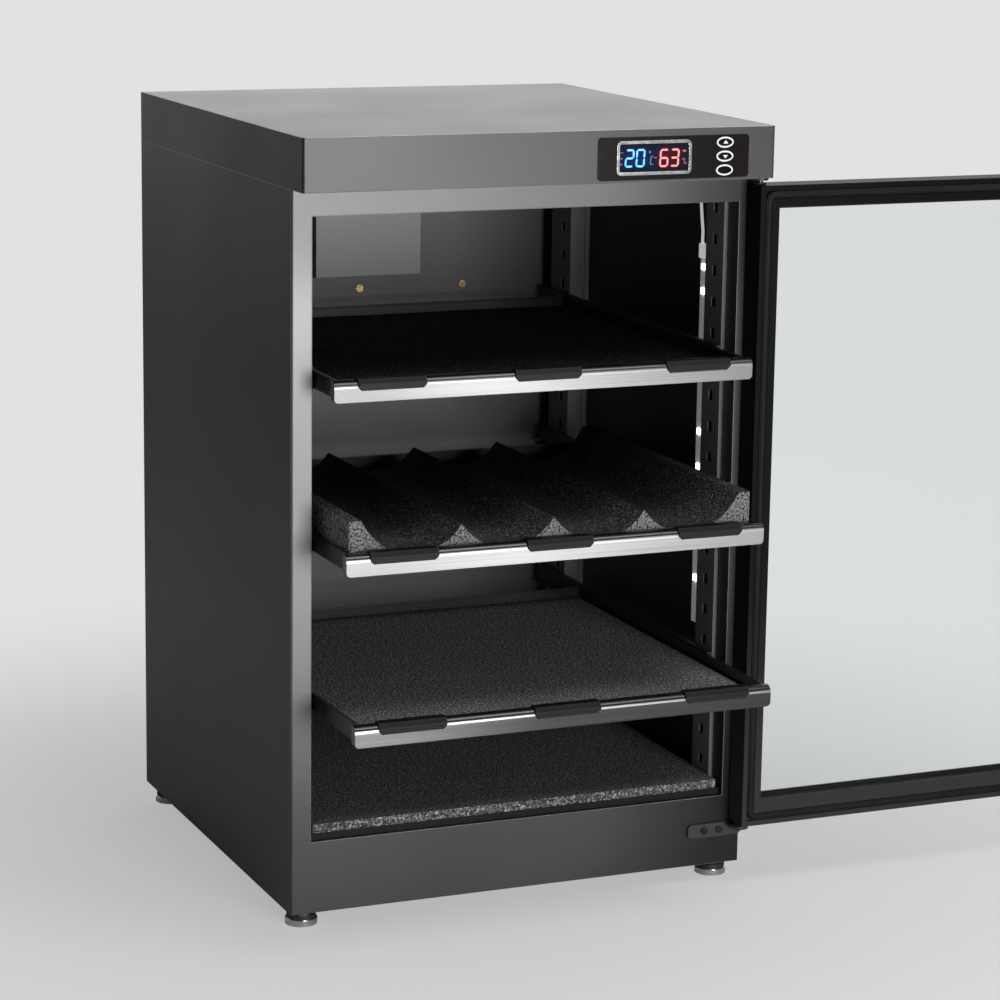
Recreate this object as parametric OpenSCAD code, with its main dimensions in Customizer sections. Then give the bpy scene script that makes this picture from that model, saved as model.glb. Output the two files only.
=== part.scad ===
// Dry storage cabinet for cameras and lenses, shown with its door folded back and its shelves drawn out.
// Origin: on the floor, midway between the feet. +X is the hinge side, +Y the back, +Z up.

/* [Cabinet body] */
// Width of the cabinet
body_w = 400; // [380:1:480]
// Depth of the body, from its front frame to its back
body_d = 392; // [370:1:460]
// Height of the body, from its bottom edge to the cap
body_h = 580; // [560:1:700]
// Height of the body's bottom edge above the floor
foot_h = 14; // [13:1:20]
// Thickness of the folded sheet
sheet_t = 1.2; // [0.8:0.1:1.5]
// Height of the cap
cap_h = 42; // [40:1:60]
// How far the cap stands in front of the body
cap_overhang = 26; // [26:1:34]
// Thickness of the cap's sheet
cap_t = 1.5; // [1:0.1:2]
// Radius of the folded upright corners
fold_r = 2; // [1.6:0.1:3]

/* [Front frame] */
// Width of each upright of the front frame
stile_w = 17; // [15:0.5:18]
// Height of the frame over the opening
rail_h = 21; // [16:1:30]
// Height of the plinth under the opening
plinth_h = 59; // [50:1:62]
// Depth of the frame's folded returns
return_d = 18; // [10:1:18]
// Height of the compartment's floor over the plinth
floor_step = 5; // [4:0.5:10]
// Setback of the compartment's floor behind the front face
floor_inset = 5.5; // [4:0.5:8]

/* [Slotted posts] */
// Distance from the cabinet's side to the face of a post
post_inset = 20; // [19:0.5:22]
// Setback of the front posts behind the front face
front_post_y = 20; // [19:1:24]
// Width of a front post
front_post_d = 32; // [30:1:40]
// Gap between the rear posts and the back panel's outer face
rear_post_gap = 28; // [20:1:40]
// Width of a rear post
rear_post_d = 42; // [36:1:50]
// Pitch of the slots
slot_pitch = 26; // [25:0.5:26]
// Height of the lowest slot over the compartment's floor
first_slot_rise = 18; // [18:1:22]
// Height of a slot
slot_h = 8; // [7.5:0.1:9]
// Width of a slot
slot_d = 7; // [6.5:0.1:8]

/* [Shelves] */
// Slot that the top shelf hangs in
top_slot = 13; // [13]
// Slot that the middle shelf hangs in
middle_slot = 8; // [8]
// Slot that the bottom shelf hangs in
bottom_slot = 3; // [3]
// Distance that the top shelf is drawn out
top_draw = 43; // [0:1:150]
// Distance that the middle shelf is drawn out
middle_draw = 71.5; // [0:0.5:150]
// Distance that the bottom shelf is drawn out
bottom_draw = 92; // [0:1:150]
// Setback of a shelf's front bar when the shelf is fully in
bar_home = 4; // [3.5:0.5:6]
// Gap between a front bar's end and the posts
bar_side_gap = 1; // [1:0.25:3]
// Height of a front bar
bar_h = 17; // [15:0.5:18]
// Depth of a front bar
bar_d = 8; // [7:0.5:10]
// Radius of a front bar's rounded top edge
bar_r = 6; // [4:0.5:6.5]
// Gap between a tray's side wall and the posts
tray_side_gap = 4; // [4:0.25:5]
// Gap between the back panel and the tray of a shelf that is fully in
tray_back_gap = 20.6; // [15:0.1:60]
// Thickness of a tray's sheet
tray_t = 1; // [0.8:0.1:1.2]
// Width of a foam clip
clip_w = 57; // [40:1:62]
// Distance from a bar's end to the middle of its outer foam clip
clip_end = 48; // [40:1:60]
// Thickness of a flat foam insert
flat_foam_t = 4.3; // [3:0.1:8]

/* [Wave foam] */
// Distance between two lens cradles
cradle_pitch = 78.5; // [70:0.5:80]
// Height of a cradle's lowest line over the foam's underside
cradle_floor = 10; // [8:0.5:14]
// Height of the crests between the cradles
crest_h = 28.5; // [24:0.5:34]
// How steeply a cradle's flanks rise, as the power of its curve
cradle_power = 3; // [2:0.1:4]
// Height of the foam's two end blocks
wave_h = 37; // [35:0.5:38]
// Setback of the wave foam behind the bar's front face
wave_inset = 13.5; // [10:0.5:20]
// Gap between the wave foam's back and the tray's rear edge
wave_back_gap = 45.9; // [1:0.1:90]

/* [Door] */
// Distance from the cabinet's side to the hinge axis
hinge_inset = 6.5; // [5.5:0.1:7]
// Distance from the body's front face to the hinge axis
hinge_gap = 14; // [14]
// How far the closed door's edges stay inside the cabinet's sides
door_inset = 2; // [1:0.5:2.5]
// Height of the door's lower edge over the body's bottom edge
door_rise = 38; // [34:0.5:42]
// Gap between the door's top and the body's top edge
door_top_gap = 6; // [5.5:0.5:8]
// Thickness of the door's frame
door_t = 24; // [24]
// Gap between the closed door and the front frame
door_gap = 2; // [2]
// Width of the door's uprights
door_stile = 17; // [17:0.5:24]
// Height of the door's top rail
door_top_rail = 17; // [17:0.5:24]
// Height of the door's bottom rail
door_bottom_rail = 22; // [19:0.5:30]
// Thickness of the glass
glass_t = 4; // [3:0.5:5]
// Width of the magnetic gasket
gasket_w = 6.1; // [5:0.1:6.2]
// Height of the gasket over the door's inner face
gasket_proud = 1.7; // [1:0.1:1.7]
// Radius of the hinge pins
pin_r = 2.5; // [2:0.1:2.6]
// Radius of the hinge bushes
bush_r = 3.5; // [3.3:0.1:3.7]

/* [Feet] */
// Radius of a foot's pad
pad_r = 13; // [10:0.5:15]
// Distance from the cabinet's side to a foot's middle
foot_inset_x = 16; // [15:1:30]
// Distance from the front or the back to a foot's middle
foot_inset_y = 20; // [20:1:50]
// Radius of a foot's screwed stem
stem_r = 4; // [3:0.5:5]

/* [Control panel] */
// Width of the control fascia
fascia_w = 132; // [130:1:140]
// Gap between the fascia and the cap's upper edge
fascia_top_gap = 6; // [4:0.5:7]
// Gap between the fascia and the cap's side
fascia_side_gap = 24; // [16:1:40]
// Width of the display's bezel
bezel_w = 65; // [60:1:70]
// Gap between the bezel and the fascia's upper and lower edges
bezel_margin = 3.5; // [3:0.5:5]
// Width of a button's ring
ring_w = 15; // [12:0.1:16]
// Height of a button's ring
ring_h = 8.8; // [8:0.1:9.2]
// Distance from the fascia's edge to the middle of the nearest button
button_edge = 6; // [5.5:0.1:6.5]
// Distance that a button travels
button_travel = 1; // [0.5:0.1:1.2]

/* [Drying unit] */
// Width of the module cover on the back wall
module_w = 100; // [90:1:140]
// Height of the module cover
module_h = 100; // [80:1:100]
// Depth of the module cover from the back wall
module_d = 29.6; // [24:0.2:30]
// Depth of the rear cover
rear_cover_d = 26; // [25:1:40]
// Width of the vent through the back wall
vent_w = 70; // [40:1:74]
// Height of the vent through the back wall
vent_h = 40; // [30:1:42]

/* [Light] */
// Length of the light strip
strip_l = 314; // [200:1:330]
// Width of the light strip
strip_w = 12; // [8:1:14]
// Gap between the light strip's connector and the level of the opening's upper edge
strip_drop = 46; // [30:1:80]
// Setback of the light strip behind the front face
strip_y = 88; // [80:1:200]

/* [Hidden] */
$fn = 48;

// One overrun serves every cut
cut = 1;
// Running clearance round a pin, and the gap that keeps two loose pieces apart
run_gap = 0.05;
gap = 0.3;

front_y = -body_d / 2;
back_y = body_d / 2;
half_w = body_w / 2;
base_z = foot_h;
top_z = foot_h + body_h;
cap_front_y = front_y - cap_overhang;
inner_x = half_w - sheet_t;
back_face_y = back_y - 2 * sheet_t;
back_outer_y = back_y - sheet_t;
opening_x = half_w - stile_w;
opening_z0 = base_z + plinth_h;
opening_z1 = top_z - rail_h;
floor_z = opening_z0 + floor_step;
ceiling_z = top_z - sheet_t;
back_flange_w = 14;
post_x = half_w - post_inset;
bar_w = 2 * (post_x - bar_side_gap);
tray_w = 2 * (post_x - tray_side_gap);
tray_d = back_face_y - tray_back_gap - front_y - bar_home;
clip_pitch = bar_w / 2 - clip_end;
hinge_x = half_w - hinge_inset;
door_w = body_w - 2 * door_inset;
door_z0 = base_z + door_rise;
feet_span_x = body_w - 2 * foot_inset_x;
feet_span_y = body_d - 2 * foot_inset_y;

// Base pan: strips that carry the feet
strip_t = 1.5;
foot_strip_w = 34;

// Posts
post_web_t = 1.2;
flange_w = 10.5;
neck_w = 5;
neck_step = 3;
slot_inset = 16;
post_top_gap = 4;
post_z1 = ceiling_z - post_top_gap;
first_slot_z = floor_z + first_slot_rise;
slot_count = floor((post_z1 - first_slot_z) / slot_pitch) + 1;

// Runners
runner_t = 1.5;
runner_leg = 4.5;
runner_top_leg = 3;
runner_start = 18;
runner_end_gap = 10;
runner_play = 0.7;
hook_d = 5.4;
hook_h = 6.4;
hook_reach = 4;

// Shelves
tray_z = 3;
hem_t = 1.6;
bar_corner_r = 3.5;
clip_floor = 9;
clip_slant = 3;
clip_front = 0.8;
clip_back = 10;
clip_proud = 1.5;
clip_play = 0.8;
foam_play = 2;
clip_centres = [-1, 0, 1];

// Wave foam
cradle_sides = [-1.5, -0.5, 0.5, 1.5];
cradle_steps = 16;
wave_l = tray_d - tray_t - hem_t - wave_inset - wave_back_gap;

// Drying unit
module_drop = 23;
module_slots = 7;
module_slot_w = 5;
module_slot_d = 16;
standoff_r = 3;
standoff_h = 4;
heater_t = 2;
pack_d = 15;
pack_share = 0.78;
shutter_margin = 2;
shutter_t = 1.5;
shutter_pin_r = 1.5;
shutter_rim = 2;
ear_t = 1.2;
ear_d = 7;
cover_t = 1.5;
cover_x0 = -58;
cover_w = 170;
cover_z_drop = 31;
cover_h = 135;
louvre_count = 8;
louvre_h = 4;
louvre_pitch = 10;
louvre_w = 90;
inlet_x = 88;
inlet_w = 16;
inlet_h = 12;
inlet_lift = 14;
inlet_flange = 3;
inlet_flange_t = 1.2;
inlet_depth = 14;
socket_r = 2.75;
socket_pin_r = 1;
screw_head_r = 3.5;
screw_head_h = 2.2;
screw_r = 2;
screw_play = 0.2;
screw_l = 10;
screw_drop = 15;
screw_xs = [2, 102];
boss_r = 5;
boss_l = 8;
slot_w = 1;
sensor_w = 30;
sensor_d = 18;
sensor_h = 12;
sensor_x = -120;
sensor_vent_r = 3;

// Control panel
fascia_t = 1;
fascia_lift = 2;
fascia_r = 3;
fascia_lip = 2;
boss_inset = 6.5;
fascia_boss_r = 1.8;
bezel_left = 16;
bezel_ring = 2.4;
bezel_r = 4;
bezel_proud = 0.8;
bezel_lift = 0.5;
window_setback = 0.4;
button_x = 44.5;
button_ring_t = 1.4;
ring_proud = 0.5;
button_proud = 0.9;
button_flange = 0.6;
button_flange_t = 1.2;
button_stem_r = 1.5;
board_gap = 8;
board_t = 2;
button_places = [1, 0, -1];
ellipse_steps = 40;

// Light
led_strip_t = 2;
led_size = 5;
led_t = 1.2;
led_shares = [0.124, 0.433, 0.529, 0.911, 0.976];
connector_w = 8;
connector_h = 12;
strip_z = opening_z1 - strip_drop - connector_h - strip_l;
connector_d = 5;
lead_r = 1.25;
lead_hole_r = 2.2;
lead_side_gap = 4.8;
lead_forward = 4;
// How far the lead rises over the ceiling
lead_height = 19.2;
lead_inset = 2.8;
lead_offset = 2;
lead_end_offset = 56;
// Shares of the way from the connector to the ceiling's hole: sideways, then up
lead_up = [
    [0, 0], [0, 0.08], [0, 0.17], [0.25, 0.27], [0.5, 0.4], [0.75, 0.53], [1, 0.68], [1, 0.84], [1, 0.96]
];
// Shares of the way from the hole to the board: sideways, forwards, then up
lead_over = [
    [0, 0, 0.22], [0.04, 0.01, 0.53], [0.14, 0.04, 0.79], [0.29, 0.09, 0.95], [0.46, 0.18, 1],
    [0.64, 0.28, 1], [0.79, 0.39, 1], [0.89, 0.5, 1], [0.96, 0.61, 1], [1, 0.72, 1], [1, 0.83, 1],
    [1, 0.93, 1], [1, 1, 1]
];
lead_sides = 8;

// Floor mat
mat_t = 8;
mat_gap = 2;

// Hinges
bracket_t = 2.5;
bracket_h = 12;
bracket_w = 49;
bracket_end = 6.5;
ear_reach = 7;
ear_w = 14;
bracket_r = 4;
hinge_screw_r = 3;
hinge_screw_head = 1.6;
hinge_screw_shank = 1.8;
hinge_screw_first = 15;
hinge_screw_pitch = 13.6;
pin_head_r = 4;
pin_head_h = 1.2;
pin_l = 16;
bush_flange_r = 5;
bush_flange_t = 1.2;
bush_l = 13;
bush_depth_play = 3;

// Door
hinge_edge = hinge_inset - door_inset;
glazing_lip = 2.5;
glazing_side = 1;
glass_bite = 5;
glass_play = 1;
glass_depth_share = 0.5;
groove_edge = 4.3;
groove_w = 6.5;
groove_d = 3;
gasket_ridge_w = 3.2;
gasket_base_share = 0.94;

// Feet
rim_h = 5;
cap_pad_r_share = 0.92;
pad_h = 9;
nut_r = 8;
nut_h = 4;
stem_l = 32;

colour_case = [0.13, 0.13, 0.14];
colour_inside = [0.09, 0.09, 0.1];
colour_satin = [0.72, 0.73, 0.75];
colour_foam = [0.1, 0.1, 0.11];
colour_rubber = [0.05, 0.05, 0.05];
colour_brass = [0.75, 0.6, 0.3];
colour_chrome = [0.85, 0.86, 0.88];
colour_white = [0.9, 0.9, 0.9];
colour_glass = [0.8, 0.9, 0.9, 0.3];

door_z1 = top_z - door_top_gap;
hinge_y = front_y - hinge_gap;
// Open, the door lies beyond the hinge axis, with its outer face towards the back
door_x0 = hinge_x - hinge_edge;
door_y0 = front_y - door_gap;

// A box from its low corner to its high corner
module block(low, high) {
    translate(low) cube(high - low);
}

// An upright plate with four round corners, in the XZ plane, from y0 to y1
module round_plate(x0, x1, z0, z1, y0, y1, r) {
    for (x = [x0 + r, x1 - r])
        for (z = [z0 + r, z1 - r])
            translate([x, y0, z]) rotate([-90, 0, 0]) cylinder(r = r, h = y1 - y0);
    block([x0 + r, y0, z0], [x1 - r, y1, z1]);
    block([x0, y0, z0 + r], [x1, y1, z1 - r]);
}

function oval(w, h) = [for (k = [0:ellipse_steps - 1])
    [w / 2 * cos(360 * k / ellipse_steps), h / 2 * sin(360 * k / ellipse_steps)]];

// An upright oval disc whose middle is at x, z, from y0 to y1
module oval_disc(x, z, w, h, y0, y1) {
    translate([x, y1, z]) rotate([90, 0, 0]) linear_extrude(y1 - y0) polygon(oval(w, h));
}

// A cylinder along Y from y0 to y1
module rod_y(x, z, r, y0, y1) {
    translate([x, y0, z]) rotate([-90, 0, 0]) cylinder(r = r, h = y1 - y0);
}

// A cylinder along X from x0 to x1
module rod_x(y, z, r, x0, x1) {
    translate([x0, y, z]) rotate([0, 90, 0]) cylinder(r = r, h = x1 - x0);
}

// Housing

module side_panel(side) {
    color(colour_case)
    mirror([side < 0 ? 1 : 0, 0, 0]) {
        block([inner_x, front_y + fold_r, base_z], [half_w, back_y, top_z]);
        block([half_w - back_flange_w, back_outer_y, base_z], [inner_x, back_y, top_z]);
    }
}

module back_panel() {
    color(colour_inside) {
        difference() {
            block([-inner_x, back_face_y, base_z], [inner_x, back_outer_y, top_z]);
            block([-vent_w / 2, back_face_y - cut, vent_z - vent_h / 2],
                  [vent_w / 2, back_outer_y + cut, vent_z + vent_h / 2]);
            for (x = screw_xs)
                rod_y(x, screw_z, screw_r + screw_play, back_face_y - cut, back_outer_y + cut);
        }
        for (side = [-1, 1])
            difference() {
                mirror([side < 0 ? 1 : 0, 0, 0])
                    block([shutter_w / 2 + gap, back_outer_y, shutter_pin_z - ear_d / 2],
                          [shutter_w / 2 + gap + ear_t, back_outer_y + ear_d, shutter_pin_z + ear_d / 2]);
                rod_x(shutter_pin_y, shutter_pin_z, shutter_pin_r + run_gap, -shutter_w, shutter_w);
            }
    }
}

module base_panel() {
    pan_y0 = front_y + floor_inset;
    notch_y = front_y + return_d + gap;
    color(colour_inside)
    difference() {
        union() {
            block([-inner_x, pan_y0, floor_z - sheet_t], [inner_x, back_face_y, floor_z]);
            block([-inner_x, pan_y0, base_z], [inner_x, pan_y0 + sheet_t, floor_z]);
            block([-inner_x, back_face_y - sheet_t, base_z], [inner_x, back_face_y, floor_z]);
            for (side = [-1, 1])
                mirror([side < 0 ? 1 : 0, 0, 0]) {
                    block([inner_x - sheet_t, pan_y0, base_z], [inner_x, back_face_y, floor_z]);
                    block([inner_x - foot_strip_w, pan_y0, base_z],
                          [inner_x, back_face_y, base_z + strip_t]);
                }
        }
        for (side = [-1, 1])
            mirror([side < 0 ? 1 : 0, 0, 0])
                block([opening_x - gap, pan_y0 - cut, opening_z0 - sheet_t - gap],
                      [half_w, notch_y, floor_z + cut]);
        for (x = [-1, 1])
            for (y = [-1, 1])
                translate([x * feet_span_x / 2, y * feet_span_y / 2, base_z - cut])
                    cylinder(r = stem_r + run_gap, h = strip_t + 2 * cut);
    }
}

module front_frame() {
    color(colour_case)
    difference() {
        union() {
            block([-half_w + fold_r, front_y, base_z], [half_w - fold_r, front_y + fold_r, top_z]);
            for (x = [-half_w + fold_r, half_w - fold_r])
                translate([x, front_y + fold_r, base_z]) cylinder(r = fold_r, h = top_z - base_z);
            block([-inner_x, front_y + fold_r, opening_z0 - sheet_t], [inner_x, front_y + return_d, top_z]);
        }
        // The corner rounds end where the side panels start
        block([-half_w - cut, front_y + fold_r, base_z - cut],
              [-inner_x, front_y + 2 * fold_r + cut, top_z + cut]);
        block([inner_x, front_y + fold_r, base_z - cut],
              [half_w + cut, front_y + 2 * fold_r + cut, top_z + cut]);
        block([-inner_x - cut, front_y + fold_r, base_z - cut], [inner_x + cut, front_y + 2 * fold_r + cut,
              opening_z0 - sheet_t]);
        block([-opening_x, front_y - cut, opening_z0], [opening_x, front_y + return_d + cut, opening_z1]);
        // The plinth's return stays short of the floor's downturn
        block([-opening_x, front_y + floor_inset - gap, opening_z0 - sheet_t - cut],
              [opening_x, front_y + return_d + cut, opening_z0 + cut]);
        // Hollows of the folded uprights and of the top rail
        for (side = [-1, 1])
            mirror([side < 0 ? 1 : 0, 0, 0])
                block([opening_x + sheet_t, front_y + sheet_t, opening_z0],
                      [inner_x - sheet_t, front_y + return_d + cut, top_z - sheet_t]);
        block([-opening_x - cut, front_y + sheet_t, opening_z1 + sheet_t],
              [opening_x + cut + sheet_t, front_y + return_d + cut, top_z - sheet_t]);
        block([-inner_x + sheet_t, front_y + sheet_t, base_z - cut],
              [inner_x - sheet_t, front_y + fold_r + cut, opening_z0 - sheet_t]);
    }
}

module top_cap() {
    color(colour_case) {
        difference() {
            union() {
                block([-half_w + fold_r, cap_front_y, top_z], [half_w - fold_r, back_y, top_z + cap_h]);
                block([-half_w, cap_front_y + fold_r, top_z], [half_w, back_y, top_z + cap_h]);
                for (x = [-half_w + fold_r, half_w - fold_r])
                    translate([x, cap_front_y + fold_r, top_z]) cylinder(r = fold_r, h = cap_h);
            }
            block([-half_w + cap_t, cap_front_y + cap_t, top_z - cut],
                  [half_w - cap_t, back_y - cap_t, top_z + cap_h - cap_t]);
            block([fascia_x0 + fascia_lip, cap_front_y - cut, fascia_z0 + fascia_lip],
                  [fascia_x0 + fascia_w - fascia_lip, cap_front_y + cap_t + cut, fascia_z1 - fascia_lip]);
        }
        // Return under the overhang
        block([-half_w + cap_t, cap_front_y + cap_t, top_z], [half_w - cap_t, front_y, top_z + cap_t]);
    }
}

module ceiling_panel() {
    color(colour_inside)
    difference() {
        block([-inner_x, front_y + return_d, ceiling_z], [inner_x, back_face_y, top_z]);
        translate([inner_x - lead_side_gap, led_y + lead_forward, ceiling_z - cut])
            cylinder(r = lead_hole_r, h = sheet_t + 2 * cut);
    }
}

// One post: slotted web towards the shelves, plain flange at y0 and a stepped flange at y1
module post(y_plain, y_stepped, slot_y) {
    far = y_stepped > y_plain ? 1 : -1;
    y0 = min(y_plain, y_stepped);
    y1 = max(y_plain, y_stepped);
    step_y = y_stepped - far * neck_step;
    z0 = floor_z;
    z1 = post_z1;
    difference() {
        block([post_x, y0, z0], [post_x + post_web_t, y1, z1]);
        for (k = [0:slot_count - 1])
            translate([post_x - cut, slot_y - slot_d / 2, first_slot_z + k * slot_pitch - slot_h / 2])
                cube([post_web_t + 2 * cut, slot_d, slot_h]);
    }
    plain_edge = y_plain + far * post_web_t;
    block([post_x, min(y_plain, plain_edge), z0], [inner_x, max(y_plain, plain_edge), z1]);
    edge = y_stepped - far * post_web_t;
    block([post_x, min(y_stepped, edge), z0], [post_x + flange_w, max(y_stepped, edge), z1]);
    block([post_x + flange_w - post_web_t, min(y_stepped, step_y), z0],
          [post_x + flange_w, max(y_stepped, step_y), z1]);
    neck = step_y + far * post_web_t;
    block([post_x + flange_w - post_web_t, min(step_y, neck), z0],
          [post_x + flange_w + neck_w, max(step_y, neck), z1]);
    block([post_x + flange_w + neck_w - post_web_t, min(y_stepped, step_y), z0],
          [post_x + flange_w + neck_w, max(y_stepped, step_y), z1]);
    block([post_x + flange_w + neck_w - post_web_t, min(y_stepped, edge), z0],
          [inner_x, max(y_stepped, edge), z1]);
}

module slotted_posts() {
    color(colour_inside)
    for (side = [0, 1])
        mirror([side, 0, 0]) {
            post(front_y + front_post_y, front_y + front_post_y + front_post_d, front_slot_y);
            post(back_y - rear_post_gap, back_y - rear_post_gap - rear_post_d, rear_slot_y);
        }
}

module foot(x, y) {
    translate([x * feet_span_x / 2, y * feet_span_y / 2, 0]) {
        color(colour_chrome) cylinder(r = pad_r, h = rim_h);
        color(colour_rubber) translate([0, 0, rim_h])
            cylinder(r = pad_r * cap_pad_r_share, h = pad_h - rim_h);
        color(colour_chrome) translate([0, 0, pad_h]) cylinder(r = nut_r, h = nut_h, $fn = 6);
        color(colour_chrome) cylinder(r = stem_r, h = stem_l);
    }
}

// Drying unit

module_z1 = top_z - module_drop;
module_z0 = module_z1 - module_h;
module_y = back_face_y - module_d;
vent_z = (module_z0 + module_z1) / 2;
shutter_w = vent_w + 2 * shutter_margin;
shutter_h = vent_h + 2 * shutter_margin;
shutter_pin_z = vent_z + shutter_h / 2;
shutter_pin_y = back_outer_y + gap + shutter_pin_r;
cover_z0 = module_z0 - cover_z_drop;
screw_z = module_z0 - screw_drop;

module module_cover() {
    color(colour_inside)
    difference() {
        block([-module_w / 2, module_y, module_z0], [module_w / 2, back_face_y, module_z1]);
        block([-module_w / 2 + sheet_t, module_y + sheet_t, module_z0 + sheet_t],
              [module_w / 2 - sheet_t, back_face_y + cut, module_z1 - sheet_t]);
        // Air slots in the top and the bottom
        for (k = [0:module_slots - 1])
            translate([(k - (module_slots - 1) / 2) * 2 * module_slot_w - module_slot_w / 2,
                       module_y + 2 * sheet_t + sheet_t, module_z0 - cut])
                cube([module_slot_w, module_slot_d, module_h + 2 * cut]);
    }
}

module heater_plate() {
    plate_y = back_face_y - standoff_h - heater_t;
    half = module_w / 2 - 2 * sheet_t;
    color(colour_satin) {
        block([-half, plate_y, module_z0 + 2 * sheet_t],
              [half, plate_y + heater_t, module_z1 - 2 * sheet_t]);
        for (x = [-1, 1])
            for (z = [module_z0 + 2 * sheet_t + 2 * standoff_r, module_z1 - 2 * sheet_t - 2 * standoff_r])
                rod_y(x * (half - 2 * standoff_r), z, standoff_r, plate_y + heater_t, back_face_y);
    }
}

module desiccant_pack() {
    plate_y = back_face_y - standoff_h - heater_t;
    color(colour_white)
    block([-module_w / 2 * pack_share, plate_y - pack_d, module_z0 + sheet_t],
          [module_w / 2 * pack_share, plate_y,
           module_z0 + sheet_t + (module_h - 2 * sheet_t) * pack_share]);
}

module vent_shutter() {
    plate_y = shutter_pin_y;
    z0 = vent_z - shutter_h / 2;
    color(colour_inside) {
        block([-shutter_w / 2, plate_y, z0], [shutter_w / 2, plate_y + shutter_t, shutter_pin_z]);
        difference() {
            block([-shutter_w / 2, back_outer_y + gap, z0], [shutter_w / 2, plate_y, shutter_pin_z]);
            block([-shutter_w / 2 + shutter_rim, back_outer_y + gap - cut, z0 + shutter_rim],
                  [shutter_w / 2 - shutter_rim, plate_y, shutter_pin_z - shutter_rim]);
        }
        rod_x(shutter_pin_y, shutter_pin_z, shutter_pin_r, -shutter_w / 2 - gap - ear_t,
              shutter_w / 2 + gap + ear_t);
    }
}

module rear_cover() {
    y1 = back_outer_y + rear_cover_d;
    color(colour_case)
    difference() {
        union() {
            difference() {
                block([cover_x0, back_outer_y, cover_z0], [cover_x0 + cover_w, y1, cover_z0 + cover_h]);
                block([cover_x0 + cover_t, back_outer_y - cut, cover_z0 + cover_t],
                      [cover_x0 + cover_w - cover_t, y1 - cover_t, cover_z0 + cover_h - cover_t]);
            }
            // Screw bosses, each on a rib from the cover's floor
            for (x = screw_xs) {
                rod_y(x, screw_z, boss_r, back_outer_y, back_outer_y + boss_l);
                block([x - cover_t / 2, back_outer_y, cover_z0],
                      [x + cover_t / 2, back_outer_y + boss_l, screw_z]);
            }
        }
        for (x = screw_xs)
            rod_y(x, screw_z, screw_r + screw_play, back_outer_y - cut, back_outer_y + screw_l);
        for (k = [0:louvre_count - 1])
            translate([-louvre_w / 2, y1 - cover_t - cut,
                       vent_z + (k - (louvre_count - 1) / 2) * louvre_pitch])
                cube([louvre_w, cover_t + 2 * cut, louvre_h]);
        block([inlet_x - inlet_w / 2, y1 - cover_t - cut, inlet_z - inlet_h / 2],
              [inlet_x + inlet_w / 2, y1 + cut, inlet_z + inlet_h / 2]);
    }
}

inlet_z = cover_z0 + inlet_lift + inlet_lift;

module power_inlet() {
    y1 = back_outer_y + rear_cover_d;
    color(colour_rubber)
    difference() {
        union() {
            block([inlet_x - inlet_w / 2, y1 - inlet_depth, inlet_z - inlet_h / 2],
                  [inlet_x + inlet_w / 2, y1, inlet_z + inlet_h / 2]);
            block([inlet_x - inlet_w / 2 - inlet_flange, y1, inlet_z - inlet_h / 2 - inlet_flange],
                  [inlet_x + inlet_w / 2 + inlet_flange, y1 + inlet_flange_t,
                   inlet_z + inlet_h / 2 + inlet_flange]);
        }
        rod_y(inlet_x, inlet_z, socket_r, y1 - inlet_depth + 2 * inlet_flange_t, y1 + inlet_flange_t + cut);
    }
    color(colour_chrome)
    rod_y(inlet_x, inlet_z, socket_pin_r, y1 - inlet_depth + inlet_flange_t, y1 - inlet_flange_t);
}

module panel_screws() {
    color(colour_brass)
    for (x = screw_xs)
        difference() {
            union() {
                rod_y(x, screw_z, screw_head_r, back_face_y - screw_head_h, back_face_y);
                rod_y(x, screw_z, screw_r, back_face_y, back_outer_y + boss_l);
            }
            block([x - screw_head_r, back_face_y - screw_head_h - cut, screw_z - slot_w / 2],
                  [x + screw_head_r, back_face_y - screw_head_h / 2, screw_z + slot_w / 2]);
        }
}

module humidity_sensor() {
    color(colour_white)
    difference() {
        block([sensor_x - sensor_w / 2, -sensor_d / 2, ceiling_z - sensor_h],
              [sensor_x + sensor_w / 2, sensor_d / 2, ceiling_z]);
        translate([sensor_x, 0, ceiling_z - sensor_h - cut])
            cylinder(r = sensor_vent_r, h = sensor_h / 2 + cut);
    }
}

// Control panel

fascia_h = cap_h - fascia_lift - fascia_top_gap;
fascia_x = half_w - fascia_side_gap - fascia_w / 2;
bezel_h = fascia_h - 2 * bezel_margin;
button_pitch = fascia_h / 2 - button_edge;
fascia_x0 = fascia_x - fascia_w / 2;
fascia_z0 = top_z + fascia_lift;
fascia_z1 = fascia_z0 + fascia_h;
fascia_y = cap_front_y - fascia_t;
board_y = cap_front_y + board_gap;
bezel_x0 = fascia_x0 + bezel_left;
bezel_z0 = fascia_z0 + bezel_margin + bezel_lift;
middle_z = (fascia_z0 + fascia_z1) / 2;
button_px = fascia_x + button_x;
board_x0 = fascia_x0 + 2 * fascia_lip;
board_x1 = fascia_x0 + fascia_w - 2 * fascia_lip;
button_w = ring_w - 2 * button_ring_t - 2 * gap;
button_h = ring_h - 2 * button_ring_t - 2 * gap;

module control_fascia() {
    color(colour_inside)
    difference() {
        union() {
            round_plate(fascia_x0, fascia_x0 + fascia_w, fascia_z0, fascia_z1, fascia_y, cap_front_y,
                        fascia_r);
            for (x = [fascia_x0 + boss_inset, fascia_x0 + fascia_w - boss_inset])
                for (z = [fascia_z0 + boss_inset, fascia_z1 - boss_inset])
                    rod_y(x, z, fascia_boss_r, cap_front_y, board_y);
        }
        block([bezel_x0 + bezel_ring, fascia_y - cut, bezel_z0 + bezel_ring],
              [bezel_x0 + bezel_w - bezel_ring, board_y, bezel_z0 + bezel_h - bezel_ring]);
        for (k = button_places)
            oval_disc(button_px, middle_z + k * button_pitch, button_w + 2 * gap, button_h + 2 * gap,
                      fascia_y - cut, cap_front_y + cut);
    }
}

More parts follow.
